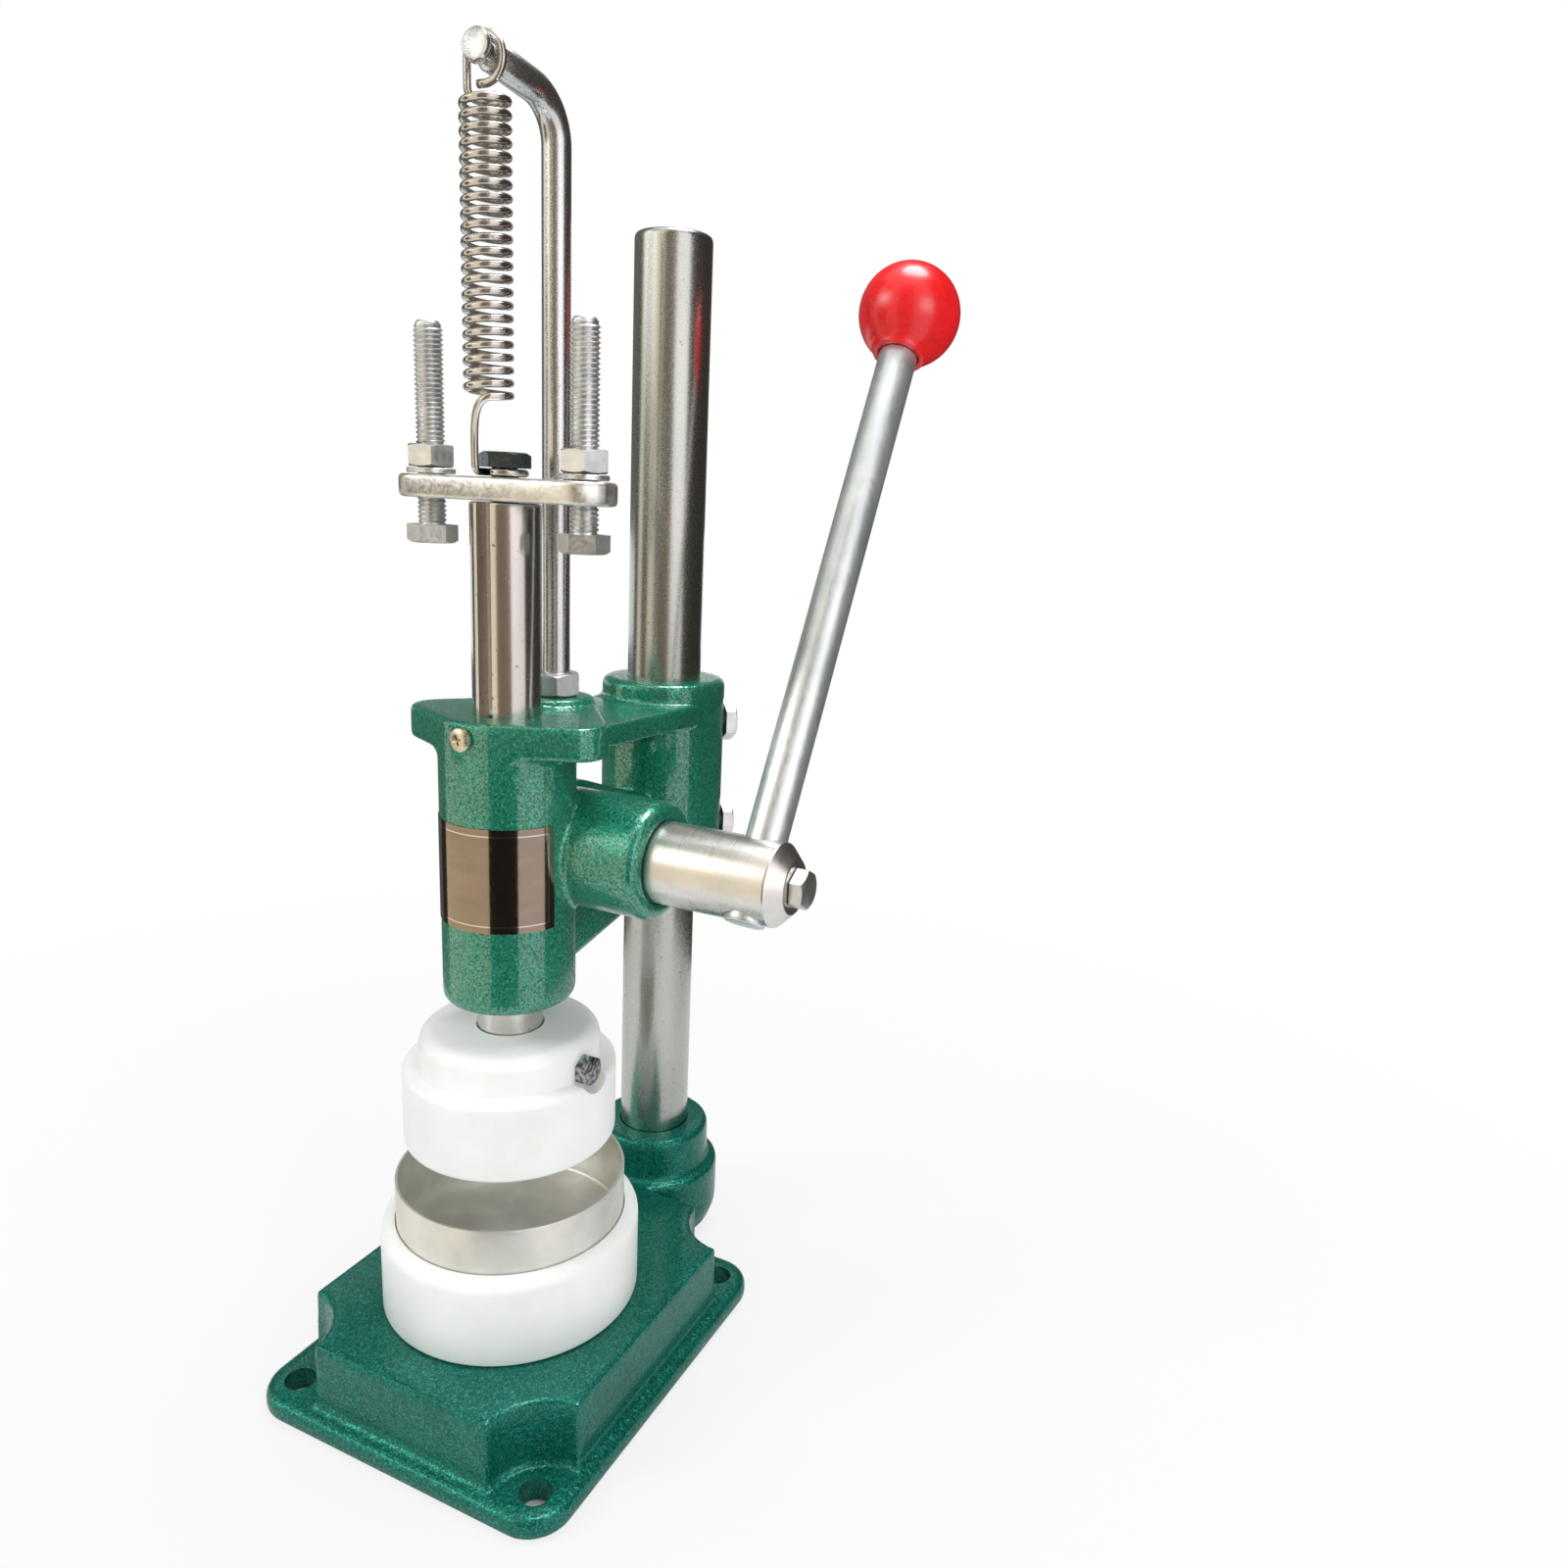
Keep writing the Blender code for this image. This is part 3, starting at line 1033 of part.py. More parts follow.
def spring_path():
    """The spring's wire from the eye round the ram's bolt, up the coil, to the loop on the hanger."""
    groove_middle = HANGER_END_HEAD + HANGER_GROOVE_WIDTH / 2
    axis_place = HANGER_REACH - groove_middle * math.sin(math.radians(HANGER_BEND_DEGREES))
    axis = -BACK * axis_place
    arm = hanger_arm_point(axis_place)
    loop_top = arm.z + HANGER_GROOVE_RADIUS + TOUCH_GAP + WIRE_RADIUS
    loop_centre = axis + UP * (loop_top - COIL_RADIUS)
    rise = WIRE_RADIUS * 5 / 2
    coil_top = loop_centre.z - COIL_RADIUS - rise
    straight = 2 * WIRE_RADIUS

    eye_radius = M8_RADIUS + TOUCH_GAP + WIRE_RADIUS
    eye_centre = UP * (STOP_PLATE_TOP + TOUCH_GAP + WIRE_RADIUS)
    eye_start = EYE_END_DEGREES - EYE_TURN_DEGREES
    eye = [ring_point(eye_centre, eye_radius, eye_start + EYE_TURN_DEGREES * k / LOOP_POINTS, RIGHT, BACK)
           for k in range(LOOP_POINTS + 1)]
    lead = (eye[0] - eye[1]).normalized() * straight
    path = [eye[0] + lead] + eye

    turns = math.floor((coil_top - COIL_BOTTOM) / COIL_PITCH) + COIL_LAST_TURN_SHARE
    end_angle = 180 - math.degrees(math.asin(COIL_BACKSET / COIL_RADIUS))
    start_angle = end_angle - 360 * turns
    count = round(turns * COIL_POINTS_PER_TURN)
    coil = []
    for k in range(count + 1):
        centre = axis + UP * (COIL_BOTTOM + (coil_top - COIL_BOTTOM) * k / count)
        coil.append(ring_point(centre, COIL_RADIUS, start_angle + 360 * turns * k / count, RIGHT, BACK))

    ahead = ring_point(Vector((0, 0, 0)), 1, EYE_END_DEGREES + 90, RIGHT, BACK)
    bend_centre = eye[-1] + ahead * HOOK_STRAIGHT + UP * HOOK_BEND_RADIUS
    bend_steps = 2 * CURVE_STEPS
    path += [ring_point(bend_centre, HOOK_BEND_RADIUS, 90 * k / bend_steps - 90, ahead, UP)
             for k in range(bend_steps + 1)]
    upright = path[-1] + UP * HOOK_UPRIGHT
    meet = coil[0] - (coil[1] - coil[0]).normalized() * HOOK_REACH
    path += [bezier_point(path[-1], upright, meet, coil[0], k / HOOK_POINTS) for k in range(1, HOOK_POINTS)]
    path += coil

    side = loop_centre - RIGHT * COIL_RADIUS
    corner = coil[-1]
    knee = Vector((side.x, side.y, corner.z))
    target = knee + UP * COIL_BACKSET
    for k in range(1, CURVE_STEPS + 1):
        t = k / CURVE_STEPS
        path.append(corner * (1 - t) ** 2 + knee * (2 * t * (1 - t)) + target * t ** 2)
    steps = round(LOOP_POINTS * LOOP_TURN_DEGREES / 360)
    loop = [ring_point(loop_centre, COIL_RADIUS, 180 - LOOP_TURN_DEGREES * k / steps, RIGHT, UP)
            for k in range(steps + 1)]
    path += loop
    path.append(loop[-1] - RIGHT * straight)
    return path


def least_gap(path, radius, skip):
    """The smallest gap between stretches of a wire that lie more than a few points apart."""
    smallest = None
    for k, point in enumerate(path):
        for other in path[k + skip:]:
            gap = (other - point).length - 2 * radius
            if smallest is None or gap < smallest:
                smallest = gap
    return smallest


def return_spring(steel):
    """Tension spring: one unbroken wire with an eye below, its coil, and a loop above."""
    path = spring_path()
    curve = bpy.data.curves.new("return_spring", "CURVE")
    curve.dimensions = "3D"
    curve.bevel_depth = WIRE_RADIUS
    curve.bevel_resolution = 1
    curve.use_fill_caps = True
    spline = curve.splines.new("POLY")
    spline.points.add(len(path) - 1)
    for point, place in zip(spline.points, path):
        point.co = (*place, 1)
    curve.materials.append(steel)
    piece = bpy.data.objects.new("return_spring", curve)
    bpy.context.scene.collection.objects.link(piece)
    print("least gap between the spring's turns", round(least_gap(path, WIRE_RADIUS, NEIGHBOUR_POINTS), 5))
    return piece


def clear_scene():
    for piece in list(bpy.data.objects):
        bpy.data.objects.remove(piece)


def build():
    clear_scene()
    green = finish("green_hammertone", (0.02, 0.19, 0.12), 0.35, 0.25)
    chrome = finish("polished_steel", (0.78, 0.77, 0.74), 0.12, 1.0)
    silver = finish("silver_steel", (0.62, 0.63, 0.64), 0.35, 0.9)
    zinc = finish("zinc_plated", (0.72, 0.72, 0.70), 0.3, 1.0)
    nylon = finish("white_nylon", (0.86, 0.87, 0.88), 0.4, 0.0)
    ring_steel = finish("ring_steel", (0.55, 0.54, 0.50), 0.35, 1.0)
    red = finish("red_plastic", (0.75, 0.01, 0.02), 0.15, 0.0)

    base = body("base", (0, 0, 0))
    carry(base, base_casting(green), column(chrome), column_set_screw(zinc), lower_die(nylon),
          *die_fixing_screws(zinc), mould_ring(ring_steel))
    head = body("head", COLUMN_AXIS, base)
    carry(head, head_casting(green), *column_clamp_bolts(zinc), guide_screw(zinc), spring_hanger(chrome),
          hanger_nut(zinc), pinion_keeper_screw(zinc), return_spring(chrome))
    ram_body = body("ram_assembly", (0, 0, 0), head)
    carry(ram_body, ram(chrome), stop_plate(silver), ram_top_bolt(zinc), *stop_bolts(zinc),
          *stop_washers(zinc), *stop_nuts(zinc), upper_die(nylon), upper_die_screw(zinc))
    pinion = body("pinion_assembly", PINION_AXIS, head)
    carry(pinion, pinion_shaft(silver), handle_rod(silver), ball_knob(red), handle_lock_bolt(zinc))


build()
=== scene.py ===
import json
import math

import bmesh
import bpy
from mathutils import Matrix, Vector

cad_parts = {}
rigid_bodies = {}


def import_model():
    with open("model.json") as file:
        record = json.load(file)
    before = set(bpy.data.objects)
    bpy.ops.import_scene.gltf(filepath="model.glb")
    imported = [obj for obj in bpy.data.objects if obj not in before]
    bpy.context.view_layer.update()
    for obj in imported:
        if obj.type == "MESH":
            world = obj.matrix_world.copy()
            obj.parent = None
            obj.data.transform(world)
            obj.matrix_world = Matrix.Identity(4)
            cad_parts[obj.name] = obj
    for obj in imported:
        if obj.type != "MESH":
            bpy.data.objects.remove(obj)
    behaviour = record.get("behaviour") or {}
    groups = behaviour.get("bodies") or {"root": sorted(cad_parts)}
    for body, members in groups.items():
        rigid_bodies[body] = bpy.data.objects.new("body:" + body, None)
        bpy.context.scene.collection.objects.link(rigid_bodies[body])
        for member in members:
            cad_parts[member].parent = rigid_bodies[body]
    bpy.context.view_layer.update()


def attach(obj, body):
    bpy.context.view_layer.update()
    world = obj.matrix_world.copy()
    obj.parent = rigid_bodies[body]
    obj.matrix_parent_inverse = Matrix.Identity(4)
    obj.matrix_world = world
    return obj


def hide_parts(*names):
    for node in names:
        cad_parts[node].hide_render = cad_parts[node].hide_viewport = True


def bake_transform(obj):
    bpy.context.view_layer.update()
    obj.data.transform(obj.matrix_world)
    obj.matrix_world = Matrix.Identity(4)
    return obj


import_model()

# The camera stands close to the press, a little to its right and above its middle.
# Its lens is wide, so the column behind leans and the base is seen from well above.
camera_place = Vector((0.20543, -0.25830, 0.27381))
camera_right = Vector((0.90268749, 0.42764684, 0.04768107))
camera_up = Vector((-0.14438781, 0.19664996, 0.96978397))
camera_back = camera_right.cross(camera_up)
lens = bpy.data.cameras.new("camera")
lens.sensor_width = 36
lens.lens = 26.55
lens.clip_start = 0.01
camera = bpy.data.objects.new("camera", lens)
turn = Matrix((camera_right, camera_up, camera_back)).transposed().to_4x4()
camera.matrix_world = Matrix.Translation(camera_place) @ turn
objects = bpy.context.scene.collection.objects
objects.link(camera)
bpy.context.scene.camera = camera
bpy.context.scene.view_settings.view_transform = "Standard"

# The studio: a pale floor, a white surround and soft lamps from the left, the right and above.
# Cards stand all round, some above others. Only shiny surfaces show them, as dark and pale bands.


def polar(radius, angle):
    return radius * math.cos(angle), radius * math.sin(angle)


class Reading:
    """A socket among some nodes, for use in plain arithmetic."""

    def __init__(self, nodes, socket):
        self.nodes = nodes
        self.socket = socket

    def worked(self, operation, first, second):
        return self.nodes.node("ShaderNodeMath", {"operation": operation}, {0: first, 1: second})

    def __add__(self, other):
        return self.worked("ADD", self, other)

    def __radd__(self, other):
        return self.worked("ADD", other, self)

    def __sub__(self, other):
        return self.worked("SUBTRACT", self, other)

    def __rsub__(self, other):
        return self.worked("SUBTRACT", other, self)

    def __mul__(self, other):
        return self.worked("MULTIPLY", self, other)

    def __rmul__(self, other):
        return self.worked("MULTIPLY", other, self)

    def __gt__(self, other):
        return self.worked("GREATER_THAN", self, other)

    def __lt__(self, other):
        return self.worked("LESS_THAN", self, other)

    def __abs__(self):
        return self.nodes.node("ShaderNodeMath", {"operation": "ABSOLUTE"}, {0: self})


class Nodes:
    """The nodes of one material or world."""

    def __init__(self, tree):
        self.tree = tree

    def node(self, kind, settings, inputs, output=0):
        made = self.tree.nodes.new(kind)
        for name, value in settings.items():
            setattr(made, name, value)
        for name, value in inputs.items():
            if isinstance(value, Reading):
                self.tree.links.new(value.socket, made.inputs[name])
            else:
                made.inputs[name].default_value = value
        return Reading(self, made.outputs[output])


class Finish(Nodes):
    """A surface finish: one material with its Principled shader and the nodes that vary it."""

    def __init__(self, name, colour, **plain):
        self.material = bpy.data.materials.new(name)
        self.material.use_nodes = True
        super().__init__(self.material.node_tree)
        self.shader = self.tree.nodes["Principled BSDF"]
        self.shader.inputs["Base Color"].default_value = (*colour, 1)
        self.material.diffuse_color = (*colour, 1)
        for socket, value in plain.items():
            self.shader.inputs[socket.replace("_", " ")].default_value = value

    def drive(self, **inputs):
        for name, value in inputs.items():
            self.tree.links.new(value.socket, self.shader.inputs[name.replace("_", " ")])

    def place(self):
        return self.node("ShaderNodeTexCoord", {}, {}, "Object")

    def coordinates(self):
        return [self.node("ShaderNodeSeparateXYZ", {}, {0: self.place()}, axis) for axis in "XYZ"]

    def noise(self, across, detail=3.0, stretch=(1, 1, 1), offset=(0, 0, 0)):
        """Soft random spots about as wide as the length given, longer where they are stretched."""
        scale = [1 / across / s for s in stretch]
        place = self.node("ShaderNodeMapping", {},
                          {"Vector": self.place(), "Scale": scale, "Location": offset})
        return self.node("ShaderNodeTexNoise", {}, {"Vector": place, "Scale": 1, "Detail": detail})

    def spread(self, value, low, high, start=0, end=1):
        """The value between low and high drawn out to run from start to end, and held there."""
        return self.node("ShaderNodeMapRange", {}, {0: value, 1: low, 2: high, 3: start, 4: end})

    def mixed(self, share, first, second):
        first = first if isinstance(first, Reading) else (*first, 1)
        second = second if isinstance(second, Reading) else (*second, 1)
        return self.node("ShaderNodeMix", {"data_type": "RGBA"}, {0: share, 6: first, 7: second}, 2)

    def drift(self, noise, start=0, end=1):
        """The middle of a noise, where most of it lies, drawn out to run from start to end."""
        return self.spread(noise, 0.3, 0.7, start, end)

    def clouds(self, noise, dark, light):
        """Two tints that run into each other as the noise does."""
        return self.mixed(self.drift(noise), dark, light)

    def bump(self, height, depth, strength=1.0):
        bumped = self.node("ShaderNodeBump", {}, {"Strength": strength, "Distance": depth, "Height": height})
        self.tree.links.new(bumped.socket, self.shader.inputs["Normal"])


def stage_sheet(name, near, far, finish):
    """A sheet of the studio between two rows of points."""
    mesh = bpy.data.meshes.new(name)
    count = len(near)
    mesh.from_pydata(near + far, [], [(k, k + 1, count + k + 1, count + k) for k in range(count - 1)])
    mesh.materials.append(finish.material)
    sheet = bpy.data.objects.new(name, mesh)
    objects.link(sheet)
    return sheet


ground = Finish("floor_white", (0.62, 0.62, 0.62), Roughness=0.9)
from_press = ground.node("ShaderNodeVectorMath", {"operation": "LENGTH"}, {0: ground.place()}, "Value")
floor_x, floor_y = ground.coordinates()[:2]
shade_middle_y, shade_half_x, shade_half_y = 0.0055, 0.0485, 0.0564
under_base = (abs(floor_x) < shade_half_x) * (abs(floor_y - shade_middle_y) < shade_half_y)
glow_near, glow_far, glow_at_press = 0.1, 0.5, 0.8
seen = ground.node("ShaderNodeLightPath", {}, {}, "Is Camera Ray")
seen = seen * ground.spread(from_press, glow_near, glow_far, glow_at_press, 1) * (1 - under_base)
lit_floor = Reading(ground, ground.shader.outputs[0])
white_floor = ground.node("ShaderNodeEmission", {}, {})
floor_blend = ground.node("ShaderNodeMixShader", {}, {0: seen, 1: lit_floor, 2: white_floor})
ground.tree.links.new(floor_blend.socket, ground.tree.nodes["Material Output"].inputs[0])
floor_reach = 3.0
stage_sheet("floor", [(-floor_reach, -floor_reach, 0), (floor_reach, -floor_reach, 0)],
            [(-floor_reach, floor_reach, 0), (floor_reach, floor_reach, 0)], ground)

card_reach, card_middle_y, card_steps = 0.30, 0.03, 12
card_split, back_split, back_step, card_top = 0.14, 0.19, 0.255, 0.8
for card_name, first, last, low, high, colour in (
        ("card_dark_front", -84, -42, 0, card_split, (0.02, 0.017, 0.015)),
        ("card_brown_front", -84, -42, card_split, card_top, (0.20, 0.145, 0.10)),
        ("card_cream_front_left", -123, -84, 0, card_top, (0.95, 0.82, 0.64)),
        ("card_cream_low", -166, -123, 0, card_split, (0.95, 0.82, 0.64)),
        ("card_brown_stripe", -149, -123, card_split, card_top, (0.07, 0.05, 0.035)),
        ("card_cream_left", -166, -149, card_split, card_top, (0.95, 0.88, 0.74)),
        ("card_dark_left", -184, -166, 0, card_top, (0.035, 0.03, 0.025)),
        ("card_pale_right", -42, 2, 0, card_top, (0.95, 0.88, 0.88)),
        ("card_dark_right", 2, 92, 0, card_top, (0.035, 0.028, 0.022)),
        ("card_grey_back", 92, 176, 0, back_split, (0.13, 0.135, 0.13)),
        ("card_bright_back", 92, 176, back_split, back_step, (1, 1, 1)),
        ("card_high_back", 92, 176, back_step, card_top, (0.13, 0.135, 0.13))):
    glow = Finish(card_name, (0, 0, 0), Roughness=1, Emission_Color=(*colour, 1), Emission_Strength=1)
    rows = []
    for height in (low, high):
        turns = [math.radians(first + (last - first) * k / card_steps) for k in range(card_steps + 1)]
        rows.append([(card_reach * math.cos(a), card_middle_y + card_reach * math.sin(a), height)
                     for a in turns])
    card = stage_sheet(card_name, *rows, glow)
    card.visible_camera = False
    card.visible_shadow = False
    card.visible_diffuse = False

world = bpy.data.worlds.new("studio")
world.use_nodes = True
bpy.context.scene.world = world
surround = world.node_tree.nodes["Background"]
surround.inputs["Color"].default_value = (1, 1, 1, 1)
sky = Nodes(world.node_tree)
rays = [sky.node("ShaderNodeLightPath", {}, {}, kind) for kind in ("Is Camera Ray", "Is Glossy Ray")]
plain_light = 0.5
brightness = sky.node("ShaderNodeMath", {"operation": "MAXIMUM"}, dict(enumerate(rays)))
brightness = brightness * (1 - plain_light) + plain_light
sky.tree.links.new(brightness.socket, surround.inputs["Strength"])


def lamp(name, place, width, power):
    light = bpy.data.lights.new(name, "AREA")
    light.shape = "DISK"
    light.size = width
    light.energy = power
    holder = bpy.data.objects.new(name, light)
    holder.location = place
    holder.rotation_euler = (press_middle - Vector(place)).to_track_quat("-Z", "Y").to_euler()
    objects.link(holder)


press_middle = Vector((0, 0.02, 0.18))
lamp("lamp_left", (-0.75, -0.75, 0.85), 0.5, 7.0)
lamp("lamp_right", (0.95, -0.45, 0.6), 0.5, 5.0)
lamp("lamp_above", (0.1, 0.25, 1.3), 0.6, 9.0)

# The base: one grey-iron casting in hammered green paint, standing on a flange with four bolt holes.
# Its plinth is hollowed round each hole, its tail holds the column, and its underside is cored.
UP = Vector((0, 0, 1))
RIGHT = Vector((1, 0, 0))
BACK = Vector((0, 1, 0))
column_axis = Vector((0, 0.085, 0))


def ring_of(radius, height, steps=96):
    turns = [2 * math.pi * k / steps for k in range(steps)]
    return [Vector((*polar(radius, turn), height)) for turn in turns]


def outline_round(circles, grow, height):
    """The plan outline drawn tight round circles (x, y, radius) and grown outward."""
    points = []
    steps = 144
    for k in range(steps):
        angle = 2 * math.pi * (k + 1 / 2) / steps
        ahead = Vector((math.cos(angle), math.sin(angle)))
        x, y, radius = max(circles, key=lambda c: c[0] * ahead.x + c[1] * ahead.y + c[2])
        points.append(Vector((x + ahead.x * (radius + grow), y + ahead.y * (radius + grow), height)))
    return points


def lofted(rings, closed=False):
    shape = bmesh.new()
    rows = [[shape.verts.new(point) for point in ring] for ring in rings]
    joints = list(zip(rows, rows[1:]))
    if closed:
        joints.append((rows[-1], rows[0]))
    else:
        shape.faces.new(rows[0])
        shape.faces.new(rows[-1])
    for low, high in joints:
        for k in range(len(low)):
            after = (k + 1) % len(low)
            shape.faces.new((low[k], low[after], high[after], high[k]))
    bmesh.ops.recalc_face_normals(shape, faces=shape.faces)
    return shape


def eased(profile, radius, steps=4):
    """The profile with its corners rounded, the two ends kept."""
    points = [Vector(p) for p in profile]
    soft = [points[0]]
    for before, corner, after in zip(points, points[1:], points[2:]):
        reach = min(radius, (before - corner).length * 0.49, (after - corner).length * 0.49)
        start = corner + (before - corner).normalized() * reach
        end = corner + (after - corner).normalized() * reach
        for k in range(steps + 1):
            t = k / steps
            soft.append(start * (1 - t) ** 2 + corner * (2 * t * (1 - t)) + end * t ** 2)
    soft.append(points[-1])
    return soft


def turned(profile, steps=96):
    """A body turned round Z from (radius, height) points that start and end on the axis."""
    shape = bmesh.new()
    points = [shape.verts.new((p[0], 0, p[1])) for p in profile]
    lines = [shape.edges.new(two) for two in zip(points, points[1:])]
    bmesh.ops.spin(shape, geom=points + lines, cent=(0, 0, 0), axis=UP, angle=2 * math.pi, steps=steps)
    bmesh.ops.remove_doubles(shape, verts=shape.verts, dist=0.000001)
    bmesh.ops.recalc_face_normals(shape, faces=shape.faces)
    return shape


def bar(radius, low, high, edge=0.0003):
    return turned(eased([(0, low), (radius, low), (radius, high), (0, high)], edge))


def drill(radius, low, high):
    """A round tool with all but sharp ends."""
    return bar(radius, low, high, 0.0001)


def aimed(shape, place, direction=UP):
    turn = direction.to_track_quat("Z", "Y").to_matrix().to_4x4()
    shape.transform(Matrix.Translation(place) @ turn)
    return shape


def slab(circles, low, high, edge):
    """A plate with a rounded outline and rounded edges."""
    rings = []
    for k in range(4):
        lean = math.pi / 2 * k / 3
        rings.append(outline_round(circles, -edge * (1 - math.sin(lean)), low + edge * (1 - math.cos(lean))))
    for k in range(4):
        lean = math.pi / 2 * k / 3
        rings.append(outline_round(circles, -edge * (1 - math.cos(lean)), high - edge * (1 - math.sin(lean))))
    return lofted(rings)


def mesh_of(name, shape):
    mesh = bpy.data.meshes.new(name)
    shape.to_mesh(mesh)
    shape.free()
    return mesh


def blank(shape):
    made = bpy.data.objects.new("blank", mesh_of("blank", shape))
    objects.link(made)
    return made


def worked_on(shape, *steps):
    """The shape after modifiers, each given as its type and its settings."""
    made = blank(shape)
    for kind, settings in steps:
        step = made.modifiers.new(kind.lower(), kind)
        for name, value in settings.items():
            setattr(step, name, value)
    bpy.context.view_layer.update()
    result = bmesh.new()
    result.from_object(made, bpy.context.evaluated_depsgraph_get())
    bpy.data.objects.remove(made)
    return result


def machined(shape, *tools):
    """The shape with every tool's form cut out of it."""
    rack = bpy.data.collections.new("tools")
    for tool in tools:
        made = blank(tool)
        objects.unlink(made)
        rack.objects.link(made)
    result = worked_on(shape, ("BOOLEAN", {"operation": "DIFFERENCE", "solver": "EXACT",
                                           "operand_type": "COLLECTION", "collection": rack}))
    for made in list(rack.objects):
        bpy.data.objects.remove(made)
    bpy.data.collections.remove(rack)
    return result


def merged(*shapes):
    whole = shapes[0]
    for shape in shapes[1:]:
        mesh = mesh_of("part", shape)
        whole.from_mesh(mesh)
        bpy.data.meshes.remove(mesh)
    return whole


def cast(shapes, grain, rounds):
    """The shapes run together into one casting with soft edges and small fillets."""
    return worked_on(merged(*shapes), ("REMESH", {"mode": "VOXEL", "voxel_size": grain}),
                     ("SMOOTH", {"factor": 0.5, "iterations": rounds}))


def formed(name, shape, finish, sharp):
    """The shape as an object of its own, smooth but for edges that turn by more than sharp degrees."""
    mesh = mesh_of(name, shape)
    mesh.shade_smooth()
    mesh.set_sharp_from_angle(angle=math.radians(sharp))
    mesh.materials.append(finish.material)
    piece = bpy.data.objects.new(name, mesh)
    objects.link(piece)
    return piece


def shown(name, shape, finish, body, slot, *nodes, sharp=32):
    """A finished piece that moves with a body and stands for its plain solids."""
    piece = formed(name, shape, finish, sharp)
    if nodes:
        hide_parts(*nodes)
    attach(piece, body)


def hammered_green(name, deep, lively, sparkle, metal, gloss):
    """Green hammer paint: pale metallic flecks in a deep green film that dimples as it dries."""
    paint = Finish(name, lively, Metallic=metal, Specular_IOR_Level=0.2, Coat_Weight=1, Coat_IOR=gloss,
                   Coat_Roughness=0.09)
    cells = paint.node("ShaderNodeTexVoronoi", {"feature": "SMOOTH_F1"},
                       {"Vector": paint.place(), "Scale": 700, "Smoothness": 0.6})
    fleck = paint.noise(0.0009, 5.0)
    cloud = paint.noise(0.014, 3.0)
    colour = paint.mixed(paint.spread(fleck + (cloud - 0.5) * 0.3, 0.40, 0.75), deep, lively)
    grain = paint.noise(0.00045, 2.0)
    glint = paint.spread(grain, 0.55, 0.68)
    colour = paint.mixed(glint * 0.6, colour, sparkle)
    skin = paint.spread(paint.noise(0.0006, 3.0, offset=(3, 5, 7)), 0.42, 0.58, 0.08, 1)
    paint.drive(Base_Color=colour, Roughness=paint.drift(fleck, 0.26, 0.42),
                Metallic=glint * (1 - metal) * 0.5 + metal, Coat_Weight=skin)
    paint.bump(cells * 0.7 + fleck * 0.7, 0.0003, 0.8)
    return paint


# This is the darker of two copies of the one green paint; the head's lighter copy further down is painted
# light.
green = hammered_green("green_hammered", (0.002, 0.105, 0.075), (0.007, 0.21, 0.157), (0.07, 0.50, 0.40),
                       metal=0.5, gloss=1.32)
flange_half, flange_front, flange_back = 0.0543, 0.0569, 0.068
flange_corner, flange_top = 0.0124, 0.0069
plinth_half, plinth_front, plinth_back, plinth_top = 0.0495, 0.0521, 0.0632, 0.0277
plinth_pocket, pocket_steps, cast_wall, hollow_draft = 0.0176, 12, 0.006, 0.0016
hole_x, hole_front, hole_back, hole_radius, hole_high = 0.0438, 0.0464, 0.0575, 0.0046, 0.012
tail_radius, tail_top, socket_radius, socket_top = 0.0242, 0.0277, 0.0202, 0.0435
column_radius, column_foot = 0.0125, 0.006
grub_radius, grub_height = 0.004, 0.017
die_screw_radius, die_screw_recess, die_screw_seat = 0.003, 0.0066, 0.012
die_screws = [RIGHT * x for x in (-0.021, 0.021)]
play, overrun = 0.0003, 0.002


def plinth_outline(grow, height):
    points = []
    pocket = plinth_pocket - grow
    lean = math.asin(grow / pocket)
    corners = [(plinth_half, -plinth_front, 180), (plinth_half, plinth_back, 270),
               (-plinth_half, plinth_back, 0), (-plinth_half, -plinth_front, 90)]
    for x, y, start in corners:
        first = math.radians(start) + lean
        last = math.radians(start - 90) - lean
        for k in range(pocket_steps + 1):
            angle = first + (last - first) * k / pocket_steps
            points.append(Vector((x + pocket * math.cos(angle), y + pocket * math.sin(angle), height)))
    return points


def oblong(half_x, half_y, height):
    corners = ((-half_x, -half_y), (half_x, -half_y), (half_x, half_y), (-half_x, half_y))
    return [Vector((x, y, height)) for x, y in corners]


corner_circles = [(x, y, flange_corner) for x in (flange_corner - flange_half, flange_half - flange_corner)
                  for y in (flange_corner - flange_front, flange_back - flange_corner)]
base_flange = slab(corner_circles, 0, flange_top, edge=0.0022)
flange_rise = lofted([outline_round(corner_circles, -0.0026, flange_top - 0.001),
                      outline_round(corner_circles, -0.0034, flange_top + 0.0002)])
base_plinth = lofted([plinth_outline(grow, height) for grow, height in (
    (0.0012, flange_top / 2), (0.0012, flange_top), (0.0004, flange_top + 0.0006),
    (0, flange_top + 0.002), (-0.0003, plinth_top - 0.0008), (-0.0008, plinth_top))])
tail_profile = [(0, 0), (tail_radius - 0.01, 0), (tail_radius - 0.0029, 0.0029), (tail_radius, 0.01),
                (tail_radius, tail_top), (socket_radius + 0.0004, tail_top + 0.0002),
                (socket_radius, socket_top), (0, socket_top)]
base_tail = aimed(turned(eased(tail_profile, 0.0024)), column_axis)
whole_base = cast([base_flange, flange_rise, base_plinth, base_tail], grain=0.0008, rounds=5)
hollow = lofted([plinth_outline(-cast_wall, -overrun),
                 plinth_outline(-cast_wall - hollow_draft, plinth_top - cast_wall)])
core_low, core_high, rib_half, rib_reach = -0.004, 0.024, 0.003, 0.12
ribs = [lofted([oblong(half_x, half_y, height) for height in (core_low, core_high)])
        for half_x, half_y in ((rib_half, rib_reach), (rib_reach, rib_half))]
middle_boss, column_boss, die_boss = 0.0085, 0.0185, 0.010
